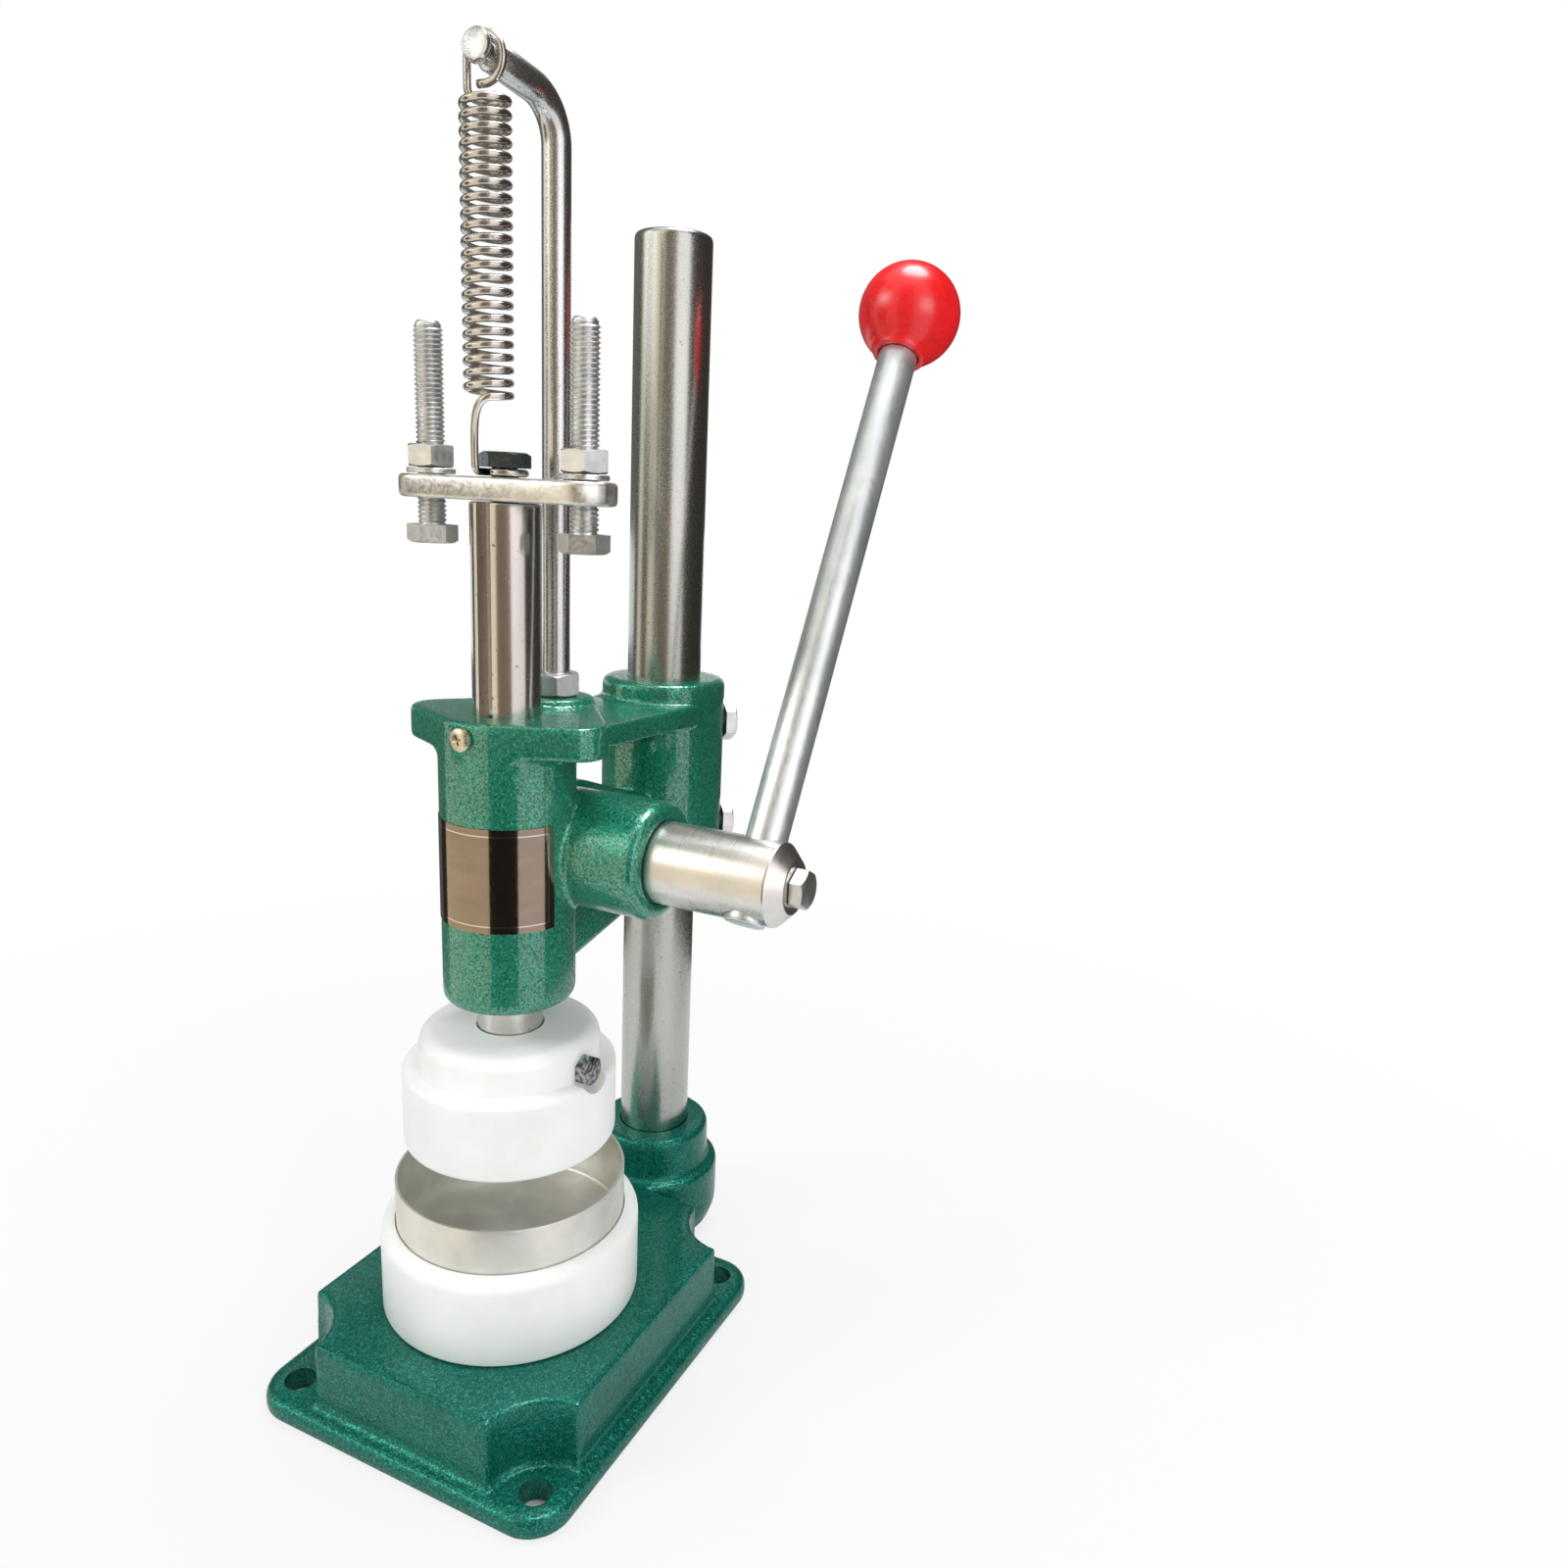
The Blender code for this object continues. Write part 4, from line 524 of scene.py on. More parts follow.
bosses = [bar(middle_boss, core_low, core_high), aimed(bar(column_boss, core_low, core_high), column_axis)]
bosses += [aimed(bar(die_boss, core_low, core_high), place) for place in die_screws]
hollow = machined(hollow, *ribs, *bosses)
bolt_holes = [aimed(drill(hole_radius, -overrun, hole_high), Vector((x, y, 0)))
              for x in (-hole_x, hole_x) for y in (-hole_front, hole_back)]
screw_holes = []
for place in die_screws:
    screw_holes += [aimed(drill(die_screw_radius + play, die_screw_seat - overrun, 0.03), place),
                    aimed(drill(die_screw_recess, -overrun, die_screw_seat), place)]
column_bore = aimed(drill(column_radius + play, column_foot - play, 0.05), column_axis)
grub_hole = aimed(drill(grub_radius + play, column_radius - overrun, 0.03),
                  column_axis + UP * grub_height, BACK)
base_shape = machined(whole_base, hollow, *bolt_holes, *screw_holes, column_bore, grub_hole)
shown("base_body", base_shape, green, "base", "green_paint", "base_casting")

# The column: a ground and chromed round bar, 25 mm thick, on which the whole head can slide.
# It stands in the tail's socket, where a grub screw from behind presses on it.


def bright_steel(name, colour, grain, roughness, pits):
    """Polished bar with the faint marks of its grinding and a few dull specks."""
    steel = Finish(name, colour, Metallic=1.0)
    marks = steel.noise(0.0006, 3.0, stretch=grain)
    haze = steel.noise(0.02, 4.0, stretch=(1, 1, 3))
    specks = steel.spread(steel.noise(0.0016, 4.0), 0.66, 0.74) * pits
    dull = tuple(share * 0.82 for share in colour)
    steel.drive(Base_Color=steel.mixed(specks, steel.clouds(haze, dull, colour), (0.16, 0.13, 0.10)),
                Roughness=steel.drift(marks, roughness * 0.7, roughness * 1.35) + specks * 0.3)
    steel.bump(marks, 0.00001, 0.25)
    return steel


column_steel = bright_steel("column_steel", (0.59, 0.61, 0.57), grain=(1, 1, 0.35), roughness=0.24,
                            pits=0.6)
zinc = Finish("zinc_plate", (0.7, 0.73, 0.74), Metallic=1.0)
zinc.drive(Base_Color=zinc.clouds(zinc.noise(0.0035, 4.0), (0.64, 0.68, 0.70), (0.86, 0.87, 0.85)),
           Roughness=zinc.drift(zinc.noise(0.001, 3.0), 0.30, 0.44))
zinc.bump(zinc.noise(0.0005, 2.0), 0.00001, 0.2)
column = bar(column_radius, column_foot, high=0.3535, edge=0.0022)
shown("column_bar", aimed(column, column_axis), column_steel, "base", "polished_steel", "column")


def hex_socket_screw(radius, length):
    """A headless screw with a hexagon socket, its face at zero and its tip toward +Z."""
    body = turned(eased([(0, 0), (radius, 0), (radius, length), (0, length)], 0.0005))
    key = lofted([ring_of(radius * 0.55, z, 6) for z in (-overrun / 2, radius)])
    return machined(body, key)


grub_face, grub_length = 0.0237, 0.0106
grub_place = column_axis + Vector((0, grub_face, grub_height))
shown("column_grub_screw", aimed(hex_socket_screw(grub_radius, grub_length), grub_place, -BACK),
      zinc, "base", "zinc_plate", "column_set_screw")

# The lower die: a turned disc of white nylon, held by two hexagon screws from under the base.
# The screws stand in recesses in the base's underside, and a groove in its top takes the mould ring.
nylon = Finish("white_nylon", (0.88, 0.885, 0.88), Roughness=0.38, Subsurface_Weight=0.25,
               Subsurface_Scale=0.004)
nylon_marks = nylon.noise(0.0005, 2.0, stretch=(12, 12, 1))
nylon.drive(Base_Color=nylon.clouds(nylon.noise(0.014, 3.0), (0.85, 0.86, 0.85), (0.91, 0.915, 0.90)),
            Roughness=nylon.drift(nylon_marks, 0.3, 0.48))
nylon.bump(nylon_marks, 0.00002, 0.35)
die_radius, die_low, die_floor, die_top, die_edge = 0.0393, 0.028, 0.047, 0.0552, 0.004
ring_outer, ring_inner, ring_foot = 0.0347, 0.0338, 0.0455
groove_outer, groove_inner, groove_low = ring_outer + play, ring_inner - play, ring_foot - play
die_screw_low = 0.0077


def quarter_round(radius, top, edge, steps):
    """Profile points of a rounded upper edge."""
    leans = [math.pi / 2 * k / steps for k in range(steps + 1)]
    return [(radius - edge + edge * math.cos(a), top - edge + edge * math.sin(a)) for a in leans]


lower_profile = eased([(0, die_low), (die_radius, die_low), (die_radius, die_low + 0.012)], 0.0006)
lower_profile += quarter_round(die_radius, die_top, die_edge, 12)
lower_profile += [(groove_outer + 0.00012, die_top), (groove_outer, die_top - 0.0001),
                  (groove_outer, groove_low), (groove_inner, groove_low),
                  (groove_inner, die_floor - 0.0001), (groove_inner - 0.0001, die_floor), (0, die_floor)]
lower_holes = [aimed(drill(die_screw_radius + play, low=0.02, high=0.0393), place) for place in die_screws]
shown("lower_die_disc", machined(turned(lower_profile, 144), *lower_holes), nylon, "base", "white_nylon",
      "lower_die")
chamfer_share, chamfer_slope, hex_steps = 0.475, 0.577, 72


def hexagon_edge(flats, height, rise):
    """A hexagon's rim where a 30 degree chamfer meets its sides, so it dips at the corners."""
    points = []
    for k in range(hex_steps):
        angle = 2 * math.pi * k / hex_steps
        from_flat = (angle + math.pi / 6) % (math.pi / 3) - math.pi / 6
        radius = flats / 2 / math.cos(from_flat)
        dip = (radius - flats * chamfer_share) * chamfer_slope
        points.append(Vector((*polar(radius, angle), height + rise * dip)))
    return points


def thread_rings(radius, pitch, low, high):
    """Rings up a threaded rod, whose crests run round it as one helix."""
    rings = []
    steps, rings_a_turn, depth = 24, 6, 0.6 * pitch
    count = round((high - low) / pitch * rings_a_turn)
    for k in range(count + 1):
        height = low + (high - low) * k / count
        fade = min(1, (high - height) / pitch, (height - low) / pitch)
        ring = []
        for n in range(steps):
            phase = (height / pitch - n / steps) % 1
            crest = abs(phase - 1 / 2) * 2
            reach = radius - depth * (crest * fade + (1 - fade) * 0.9)
            ring.append(Vector((*polar(reach, 2 * math.pi * n / steps), height)))
        rings.append(ring)
    return rings


def rings_at(*places):
    return [ring_of(radius, height, hex_steps) for radius, height in places]


def hex_bolt(flats, head, radius, length, pitch):
    """A hexagon bolt: head from zero up to its height, then the threaded shank toward +Z."""
    cap = lofted([*rings_at((flats * chamfer_share, 0)), hexagon_edge(flats, 0, 1),
                  hexagon_edge(flats, head, 0), *rings_at((flats * 0.45, head))])
    tip = head + length
    shank = thread_rings(radius, pitch, head - 0.0002, tip - radius / 6)
    return merged(cap, lofted(shank + [ring_of(radius * 0.7, tip, 24)]))


for number, place in enumerate(die_screws):
    die_screw = hex_bolt(flats=0.010, head=0.004, radius=die_screw_radius, length=0.0273, pitch=0.001)
    shown(f"die_screw_{number + 1}", aimed(die_screw, place + UP * die_screw_low),
          zinc, "base", "zinc_plate", f"die_fixing_screw_{number + 1}")

# The mould ring: a thin turned ring of brushed steel that stands loose in the lower die's groove.
# It gives the shell its rim, and a thin steel disc lies inside it on the die's floor.
brushed = Finish("ring_brushed", (0.8, 0.8, 0.75), Metallic=0.9)
ring_marks = brushed.noise(0.0004, 3.0, stretch=(30, 30, 1))
ring_tints = (0.70, 0.70, 0.65), (0.84, 0.84, 0.79)
brushed.drive(Base_Color=brushed.clouds(brushed.noise(0.01, 3.0), *ring_tints),
              Roughness=brushed.drift(ring_marks, 0.34, 0.52))
brushed.bump(ring_marks, 0.00001, 0.4)
ring_top, rim_width, rim_drop, disc_low, disc_top = 0.0688, 0.00012, 0.0003, 0.04715, 0.0476
ring_profile = [(0, disc_low), (ring_inner - 0.00015, disc_low), (ring_inner, ring_foot),
                (ring_outer, ring_foot), (ring_outer, ring_top - rim_drop),
                (ring_outer - rim_width, ring_top),
                (ring_inner + rim_width, ring_top), (ring_inner, ring_top - rim_drop),
                (ring_inner, disc_top + 0.0006), (ring_inner - 0.0006, disc_top), (0, disc_top)]
shown("shell_ring", turned(ring_profile, 144), brushed, "base", "ring_steel", "mould_ring")

# The head: a second green casting, with the ram's barrel, two ears, the pinion's housing and the sleeve.
# It is bored for the ram, the pinion and the column, and drilled and tapped for its screws.
# The head wears the same green paint as the base, given here as a lighter, glossier copy: the extra lightness
# is painted light.
head_green_lit_copy = hammered_green("green_hammered_head_lit_copy", (0.005, 0.16, 0.095), (0.022, 0.31, 0.19),
                            (0.14, 0.62, 0.46), metal=0.42, gloss=2.2)
running = 0.00005
pinion_axis = Vector((0, 0.0163, 0.1707))
ram_radius, hub_radius, hub_left = 0.0096, 0.012, -0.0127
barrel_radius, ear_x, ear_radius = 0.01925, 0.0232, 0.009
hanger_y, rod_radius, lobe_low, lobe_high = 0.0228, 0.004, 0.204, 0.2138
housing_radius, housing_right, housing_recess, recess_radius = 0.0174, 0.0427, 0.0012, 0.0128
web_half, web_edge, web_corner, web_ease = 0.0078, 0.0014, 0.0015, 0.0012
guide_height, guide_radius, keeper_x, keeper_radius = 0.207, 0.002, 0.03, 0.0025
clamp_heights, clamp_radius, clamp_way = (0.1603, 0.1966), 0.003, Vector((1, 1, 0)).normalized()
barrel = bar(barrel_radius, low=0.127, high=0.210, edge=0.0026)
ears = slab([(-ear_x, 0, ear_radius), (0, 0, barrel_radius), (ear_x, 0, ear_radius), (0, hanger_y, 0.0122)],
            low=0.202, high=0.2116, edge=0.0013)
ear_roots = lofted([outline_round([(-x, 0, radius), (x, 0, radius)], 0, height)
                    for x, radius, height in ((0.0008, 0.0184, 0.1995), (0.0036, 0.0178, 0.2026))])
lobe = aimed(bar(0.011, lobe_low, lobe_high, edge=0.0012), BACK * hanger_y)
housing = aimed(bar(housing_radius, -housing_radius, housing_right, edge=0.0034), pinion_axis, RIGHT)
web_places = [(0.0076, 0.130), (0.0725, 0.1425), (0.0725, 0.1704), (0.0286, 0.1858), (0.0076, 0.1858)]
web_circles = [(y, z, web_corner) for y, z in web_places]
web = lofted([outline_round(web_circles, grow, side)
              for grow, side in ((-web_ease, -web_half), (0, web_edge - web_half),
                                 (0, web_half - web_edge), (-web_ease, web_half))])
web.transform(Matrix(((0, 0, 1, 0), (1, 0, 0, 0), (0, 1, 0, 0), (0, 0, 0, 1))))
bridge = slab([(0, hanger_y, 0.0148), (0, column_axis.y, 0.0203)], low=0.1985, high=0.2055, edge=0.0009)
sleeve = aimed(bar(radius=0.021, low=0.139, high=0.2122, edge=0.0022), column_axis)
head_shape = cast([barrel, ears, ear_roots, lobe, housing, web, bridge, sleeve], grain=0.0007, rounds=5)
bore_low, bore_high = 0.12, 0.22
head_tools = [drill(ram_radius + running, bore_low, bore_high),
              aimed(drill(column_radius + running, bore_low, bore_high), column_axis),
              aimed(drill(hub_radius + running, hub_left - play, 0.05), pinion_axis, RIGHT),
              aimed(drill(recess_radius, housing_right - housing_recess, 0.05), pinion_axis, RIGHT),
              aimed(drill(guide_radius + play, 0.008, 0.03), UP * guide_height, -BACK),
              aimed(drill(rod_radius + play, lobe_low, bore_high), BACK * hanger_y),
              aimed(drill(keeper_radius + play, 0.0105, 0.025), pinion_axis + RIGHT * keeper_x, BACK)]
for height in clamp_heights:
    clamp_hole = drill(clamp_radius + play, 0.0105, 0.03)
    head_tools.append(aimed(clamp_hole, column_axis + UP * height, clamp_way))
shown("head_body", machined(head_shape, *head_tools), head_green_lit_copy, "head", "green_paint", "head_casting")

# The head's screws: two zinc-plated hexagon bolts in the sleeve, which clamp the head on the column.
# A cross-slot pan-head screw in front keeps the ram from turning, and a grub screw holds the pinion.
clamp_reach = 0.0253
for number, height in enumerate(clamp_heights):
    clamp_bolt = hex_bolt(flats=0.013, head=0.004, radius=clamp_radius, length=0.0085, pitch=0.001)
    clamp_place = column_axis + UP * height + clamp_way * clamp_reach
    shown(f"clamp_bolt_{number + 1}", aimed(clamp_bolt, clamp_place, -clamp_way),
          zinc, "head", "zinc_plate", f"column_clamp_bolt_{number + 1}")


def swung(shape, degrees):
    shape.transform(Matrix.Rotation(math.radians(degrees), 4, "Z"))
    return shape


pan_zinc = Finish("pan_screw_zinc", (0.72, 0.66, 0.5), Metallic=1.0)
pan_stains = pan_zinc.spread(pan_zinc.noise(0.0015, 3.0), 0.35, 0.65)
pan_zinc.drive(Base_Color=pan_zinc.mixed(pan_stains, (0.60, 0.53, 0.38), (0.80, 0.76, 0.62)),
               Roughness=pan_zinc.drift(pan_zinc.noise(0.0006), 0.2, 0.4))
guide_tip, pan_seat, pan_radius, pan_top = 0.0075, 0.01955, 0.0033, 0.02135
slot_high, slot_floor = 0.0222, 0.0196
pan_profile = [(0, guide_tip), (guide_radius, guide_tip), (guide_radius, pan_seat), (pan_radius, pan_seat),
               (pan_radius - 0.00005, pan_top - 0.00085), (pan_radius - 0.0007, pan_top - 0.00025),
               (pan_radius - 0.0019, pan_top - 0.00002), (0, pan_top)]
cross = [swung(lofted([oblong(0.0019, 0.00035, slot_high), oblong(0.0004, 0.0002, slot_floor)]), degrees)
         for degrees in (20, 110)]
pan_shape = machined(turned(pan_profile, 72), *cross)
shown("guide_pan_screw", aimed(pan_shape, UP * guide_height, -BACK), pan_zinc, "head", "zinc_plate",
      "guide_screw")
keeper_face = 0.01695
keeper_place = pinion_axis + Vector((keeper_x, keeper_face, 0))
shown("keeper_grub_screw", aimed(hex_socket_screw(keeper_radius, length=0.0066), keeper_place, -BACK),
      zinc, "head", "zinc_plate", "pinion_keeper_screw")

# The label: a bare foil, dark bronze with a fine pale border line.
# It is stuck on the front of the barrel and bends round it.
label_low, label_high, label_turn, label_steps = 0.1525, 0.1826, math.radians(78), 48
foil_inner, foil_outer = 0.01935, 0.01948
turns = [-math.pi / 2 - label_turn + 2 * label_turn * k / label_steps for k in range(label_steps + 1)]
foil_outline = [polar(foil_outer, turn) for turn in turns] + [polar(foil_inner, turn) for turn in turns[::-1]]
foil = lofted([[Vector((x, y, z)) for x, y in foil_outline] for z in (label_low, label_high)])
ink = Finish("label_foil", (0.3, 0.24, 0.2), Metallic=1.0, Roughness=0.2)
label_x, label_y, label_z = ink.coordinates()
label_radius, border_start, border_end = 0.0195, 0.0018, 0.0022
label_half, along_half = (label_high - label_low) / 2, label_turn * label_radius
from_middle = abs(label_z - (label_low + label_high) / 2)
from_front = abs(ink.node("ShaderNodeMath", {"operation": "ARCTAN2"}, {0: label_x, 1: 0 - label_y}))
from_front = from_front * label_radius
inside, deeper = ((from_middle < label_half - edge) * (from_front < along_half - edge)
                  for edge in (border_start, border_end))
label_grain = ink.noise(0.004, 3.0, stretch=(3, 3, 1))
label_dark = ink.clouds(label_grain, (0.30, 0.25, 0.195), (0.36, 0.30, 0.24))
ink.drive(Base_Color=ink.mixed(inside - deeper, label_dark, (0.72, 0.66, 0.6)),
          Roughness=ink.drift(ink.noise(0.0008), 0.07, 0.14))
shown("barrel_label", foil, ink, "head", "green_paint")

# The spring hanger: a bright rod screwed into the head and locked by a nut, bent forward over the ram.
# A groove near its end keeps the spring's loop in place.


def tube(path, radii, steps):
    """A round rod along a path, with a radius at each of its points."""
    ahead = (path[1] - path[0]).normalized()
    side = ahead.orthogonal().normalized()
    rings = []
    for k, point in enumerate(path):
        ahead = (path[min(k + 1, len(path) - 1)] - path[max(k - 1, 0)]).normalized()
        side = (side - ahead * side.dot(ahead)).normalized()
        over = ahead.cross(side)
        turns = [2 * math.pi * n / steps for n in range(steps)]
        rings.append([point + (side * math.cos(a) + over * math.sin(a)) * radii[k] for a in turns])
    return lofted(rings)


bend_radius, bend, bend_start, bend_steps = 0.012, math.radians(84), 0.3621, 24
arm_reach, tip_length, groove_width, groove_radius = 0.0105, 0.0026, 0.0032, 0.0026
hanger_path = [Vector((0, hanger_y, z)) for z in (0.2043, 0.2049, 0.225, 0.30, bend_start)]
hanger_radii = [rod_radius - 0.0006] + [rod_radius] * (len(hanger_path) - 1)
for k in range(1, bend_steps + 1):
    angle = bend * k / bend_steps
    hanger_path.append(Vector((0, hanger_y - bend_radius * (1 - math.cos(angle)),
                               bend_start + bend_radius * math.sin(angle))))
    hanger_radii.append(rod_radius)
arm = Vector((0, -math.sin(bend), math.cos(bend)))
arm_start = hanger_path[-1]


def arm_point(forward):
    return arm_start + arm * ((arm_start.y + forward) / -arm.y)


arm_end = arm_point(arm_reach)
groove_front = arm_end - arm * tip_length
groove_back = groove_front - arm * groove_width
for start, along, radius in ((groove_back, -0.0006, rod_radius), (groove_back, -0.0002, rod_radius - 0.0003),
                             (groove_back, 0, groove_radius), (groove_front, 0, groove_radius),
                             (groove_front, 0.0002, rod_radius - 0.0003), (groove_front, 0.0006, rod_radius),
                             (arm_end, -0.0006, rod_radius), (arm_end, -0.0002, rod_radius - 0.0002),
                             (arm_end, 0, rod_radius - 0.0007)):
    hanger_path.append(start + arm * along)
    hanger_radii.append(radius)
rod_steel = bright_steel("hanger_steel", (0.80, 0.82, 0.82), grain=(1, 1, 0.35), roughness=0.24, pits=0.5)
shown("hanger_rod", tube(hanger_path, hanger_radii, 48), rod_steel, "head", "polished_steel",
      "spring_hanger", sharp=40)


def hex_nut(flats, height, bore):
    edge = 0.0003
    rim = flats * chamfer_share
    return lofted([*rings_at((bore, edge), (bore + edge, 0), (rim, 0)), hexagon_edge(flats, 0, 1),
                   hexagon_edge(flats, height, -1),
                   *rings_at((rim, height), (bore + edge, height), (bore, height - edge))], closed=True)


hanger_nut = swung(hex_nut(flats=0.013, height=0.0065, bore=rod_radius + play), -22)
shown("hanger_lock_nut", aimed(hanger_nut, Vector((0, hanger_y, lobe_high + play))), zinc,
      "head", "zinc_plate", "hanger_nut")

# The pinion: one turned steel bar with fourteen milled teeth, a bearing with a groove, and the hub.
# It turns in the head's housing, and the handle rod goes through a cross hole in its hub.
satin = Finish("hub_satin", (0.72, 0.72, 0.70), Metallic=1.0)
turning = satin.noise(0.0004, 3.0, stretch=(1, 60, 60))
satin_cloud = satin.noise(0.009, 4.0, stretch=(2, 1, 1))
satin.drive(Base_Color=satin.clouds(satin_cloud, (0.68, 0.68, 0.66), (0.86, 0.85, 0.80)),
            Roughness=satin.drift(turning, 0.26, 0.33))
satin.bump(turning, 0.000004, 0.1)
teeth, gear_module, teeth_right = 14, 0.0015, 0.01035
gear_radius = teeth * gear_module / 2
hub_end, hub_chamfer, keeper_half, keeper_floor = 0.0842, 0.0043, 0.0027, 0.010
handle_x, handle_radius, handle_lean = 0.072, 0.006, math.radians(30)
lock_radius, lock_head = 0.003, 0.004
hub_profile = [(0, hub_left), (hub_radius, hub_left), (hub_radius, keeper_x - keeper_half),
               (keeper_floor, keeper_x - keeper_half), (keeper_floor, keeper_x + keeper_half),
               (hub_radius, keeper_x + keeper_half), (hub_radius, handle_x - 0.008),
               (hub_radius, hub_end - hub_chamfer), (hub_radius - hub_chamfer, hub_end), (0, hub_end)]
handle_way = Vector((0, math.sin(handle_lean), math.cos(handle_lean)))
handle_foot = pinion_axis + RIGHT * handle_x
hub_tools = [aimed(drill(handle_radius + play, -0.02, 0.02), handle_foot, handle_way),
             aimed(drill(lock_radius + play, 0.07, 0.09), pinion_axis, RIGHT)]
half_gap = [(0.0090, 0.075), (gear_radius, 0.1197), (0.0125, 0.19)]
gap = [(reach, -angle) for reach, angle in half_gap] + half_gap[::-1]
for tooth in range(teeth):
    middle_turn = 2 * math.pi * (tooth + 1 / 2) / teeth + math.pi
    points = [polar(reach, middle_turn + angle) for reach, angle in gap]
    hub_tools.append(lofted([[pinion_axis + Vector((x, y, z)) for y, z in points]
                             for x in (hub_left - overrun, teeth_right)]))
hub_shape = machined(aimed(turned(eased(hub_profile, 0.0004)), pinion_axis, RIGHT), *hub_tools)
shown("pinion_bar", hub_shape, satin, "pinion", "silver_steel", "pinion_shaft")

# The handle: a plain steel rod with a dull silver finish, pushed through the hub.
# A zinc-plated hexagon bolt in the hub's end presses on it.
silver = Finish("handle_silver", (0.6, 0.63, 0.66), Metallic=0.85)
silver_grain = silver.noise(0.0008, 3.0, stretch=(1, 1, 6))
silver.drive(Base_Color=silver.clouds(silver.noise(0.012, 3.0), (0.60, 0.655, 0.66), (0.76, 0.80, 0.80)),
             Roughness=silver.drift(silver_grain, 0.3, 0.46))
silver.bump(silver_grain, 0.00001, 0.3)
handle_low, handle_high = -0.0128, 0.186
shown("handle_bar", aimed(bar(handle_radius, handle_low, handle_high, edge=0.0012), handle_foot, handle_way),
      silver, "pinion", "silver_steel", "handle_rod")
lock_bolt = hex_bolt(flats=0.010, head=lock_head, radius=lock_radius, length=0.0062, pitch=0.001)
lock_place = pinion_axis + RIGHT * (hub_end + play + lock_head)
shown("hub_lock_bolt", aimed(lock_bolt, lock_place, -RIGHT), zinc, "pinion", "zinc_plate", "handle_lock_bolt")

# The knob: a ball of glossy red plastic, moulded with a bore for the handle's end.
# It is cut flat where the rod goes in.
red = Finish("knob_red", (0.72, 0.008, 0.015), Coat_Weight=0.35, Coat_Roughness=0.14)
red.drive(Base_Color=red.clouds(red.noise(0.01, 3.0), (0.74, 0.004, 0.008), (0.86, 0.008, 0.013)),
          Roughness=red.drift(red.noise(0.002), 0.24, 0.34))
red.bump(red.noise(0.004, 2.0), 0.00005, 0.25)
knob_radius, knob_middle, neck_radius, neck_end, knob_steps = 0.016, handle_high, 0.0085, 0.1705, 32
knob_bore, knob_bore_end = handle_radius + play, handle_high + play
neck_turn = math.acos(neck_radius / knob_radius)
knob_profile = [(0, knob_middle + knob_radius)]
for k in range(1, knob_steps + 1):
    lean = math.pi / 2 - (math.pi / 2 + neck_turn) * k / knob_steps
    knob_profile.append((knob_radius * math.cos(lean), knob_middle + knob_radius * math.sin(lean)))
knob_profile += [(neck_radius - 0.0002, neck_end + 0.0005), (neck_radius - 0.0006, neck_end),
                 (knob_bore + 0.0003, neck_end), (knob_bore, neck_end + 0.0003), (knob_bore, knob_bore_end),
                 (0, knob_bore_end)]
shown("knob_ball", aimed(turned(knob_profile), handle_foot, handle_way), red, "pinion", "red_plastic",
      "ball_knob", sharp=50)

# The ram: a bright ground bar with the rack milled down its back and a keyway down its front.
# Its top is tapped for the bolt that holds the stop plate.
ram_steel = bright_steel("ram_steel", (0.78, 0.76, 0.72), grain=(1, 1, 0.3), roughness=0.18, pits=0.8)
ram_low, ram_high, bolt_radius, tapped_low, tapped_high = 0.0912, 0.2692, 0.004, 0.2572, 0.28
pitch, rack_far = math.pi * gear_module, ram_radius + overrun
tooth_tip, tooth_root, gap_half, gap_floor_half = 0.007, 0.004, 0.001694, 0.0006
key_half, key_corner, key_top, key_front, key_floor = 0.0023, 0.0016, 0.272, -0.012, -0.0071
rack_low, rack_high = (pinion_axis.z + pitch * count for count in (-2.5, 9.5))
rack_outline = [(rack_far, rack_low), (tooth_tip, rack_low)]
for number in range(-2, 10):
    gap_middle = pinion_axis.z + number * pitch
    rack_outline += [(tooth_tip, gap_middle - gap_half), (tooth_root, gap_middle - gap_floor_half),
                     (tooth_root, gap_middle + gap_floor_half), (tooth_tip, gap_middle + gap_half)]
rack_outline += [(tooth_tip, rack_high), (rack_far, rack_high)]
rack_tool = lofted([[Vector((x, y, z)) for y, z in rack_outline] for x in (-rack_far, rack_far)])
key_outline = [(-key_half, guide_height), (-key_corner, guide_height - key_corner),
               (0, guide_height - key_half), (key_corner, guide_height - key_corner),
               (key_half, guide_height), (key_half, key_top), (-key_half, key_top)]
keyway = lofted([[Vector((x, y, z)) for x, z in key_outline] for y in (key_front, key_floor)])
ram_shape = machined(bar(ram_radius, ram_low, ram_high, edge=0.0008), rack_tool, keyway,
                     drill(bolt_radius + play, tapped_low, tapped_high))
shown("ram_bar", ram_shape, ram_steel, "ram", "polished_steel", "ram")

# The stop plate: a flat steel bar with round ends, zinc-plated and a little worn, bolted on the ram.
# Each end holds a long stop bolt, head down, locked by a washer and a nut. A zinc-plated bolt holds the
# plate; its dark grey is painted shade.
worn = Finish("plate_zinc", (0.68, 0.68, 0.66), Metallic=1.0)
plate_stains = worn.spread(worn.noise(0.004, 5.0), 0.35, 0.65)
worn.drive(Base_Color=worn.mixed(plate_stains, (0.64, 0.64, 0.61), (0.88, 0.87, 0.82)),
           Roughness=worn.drift(worn.noise(0.0012, 4.0), 0.28, 0.5))
worn.bump(worn.noise(0.0016, 4.0), 0.00006, 0.35)
plate_low, plate_high, plate_x, plate_radius, stop_x = 0.2695, 0.2757, 0.0245, 0.0095, 0.0255
plate = slab([(-plate_x, 0, plate_radius), (plate_x, 0, plate_radius)], plate_low, plate_high, edge=0.0012)
plate_holes = [aimed(drill(bolt_radius + play, 0.26, 0.28), RIGHT * x) for x in (-stop_x, 0, stop_x)]
shown("ram_stop_plate", machined(plate, *plate_holes), worn, "ram", "silver_steel", "stop_plate")
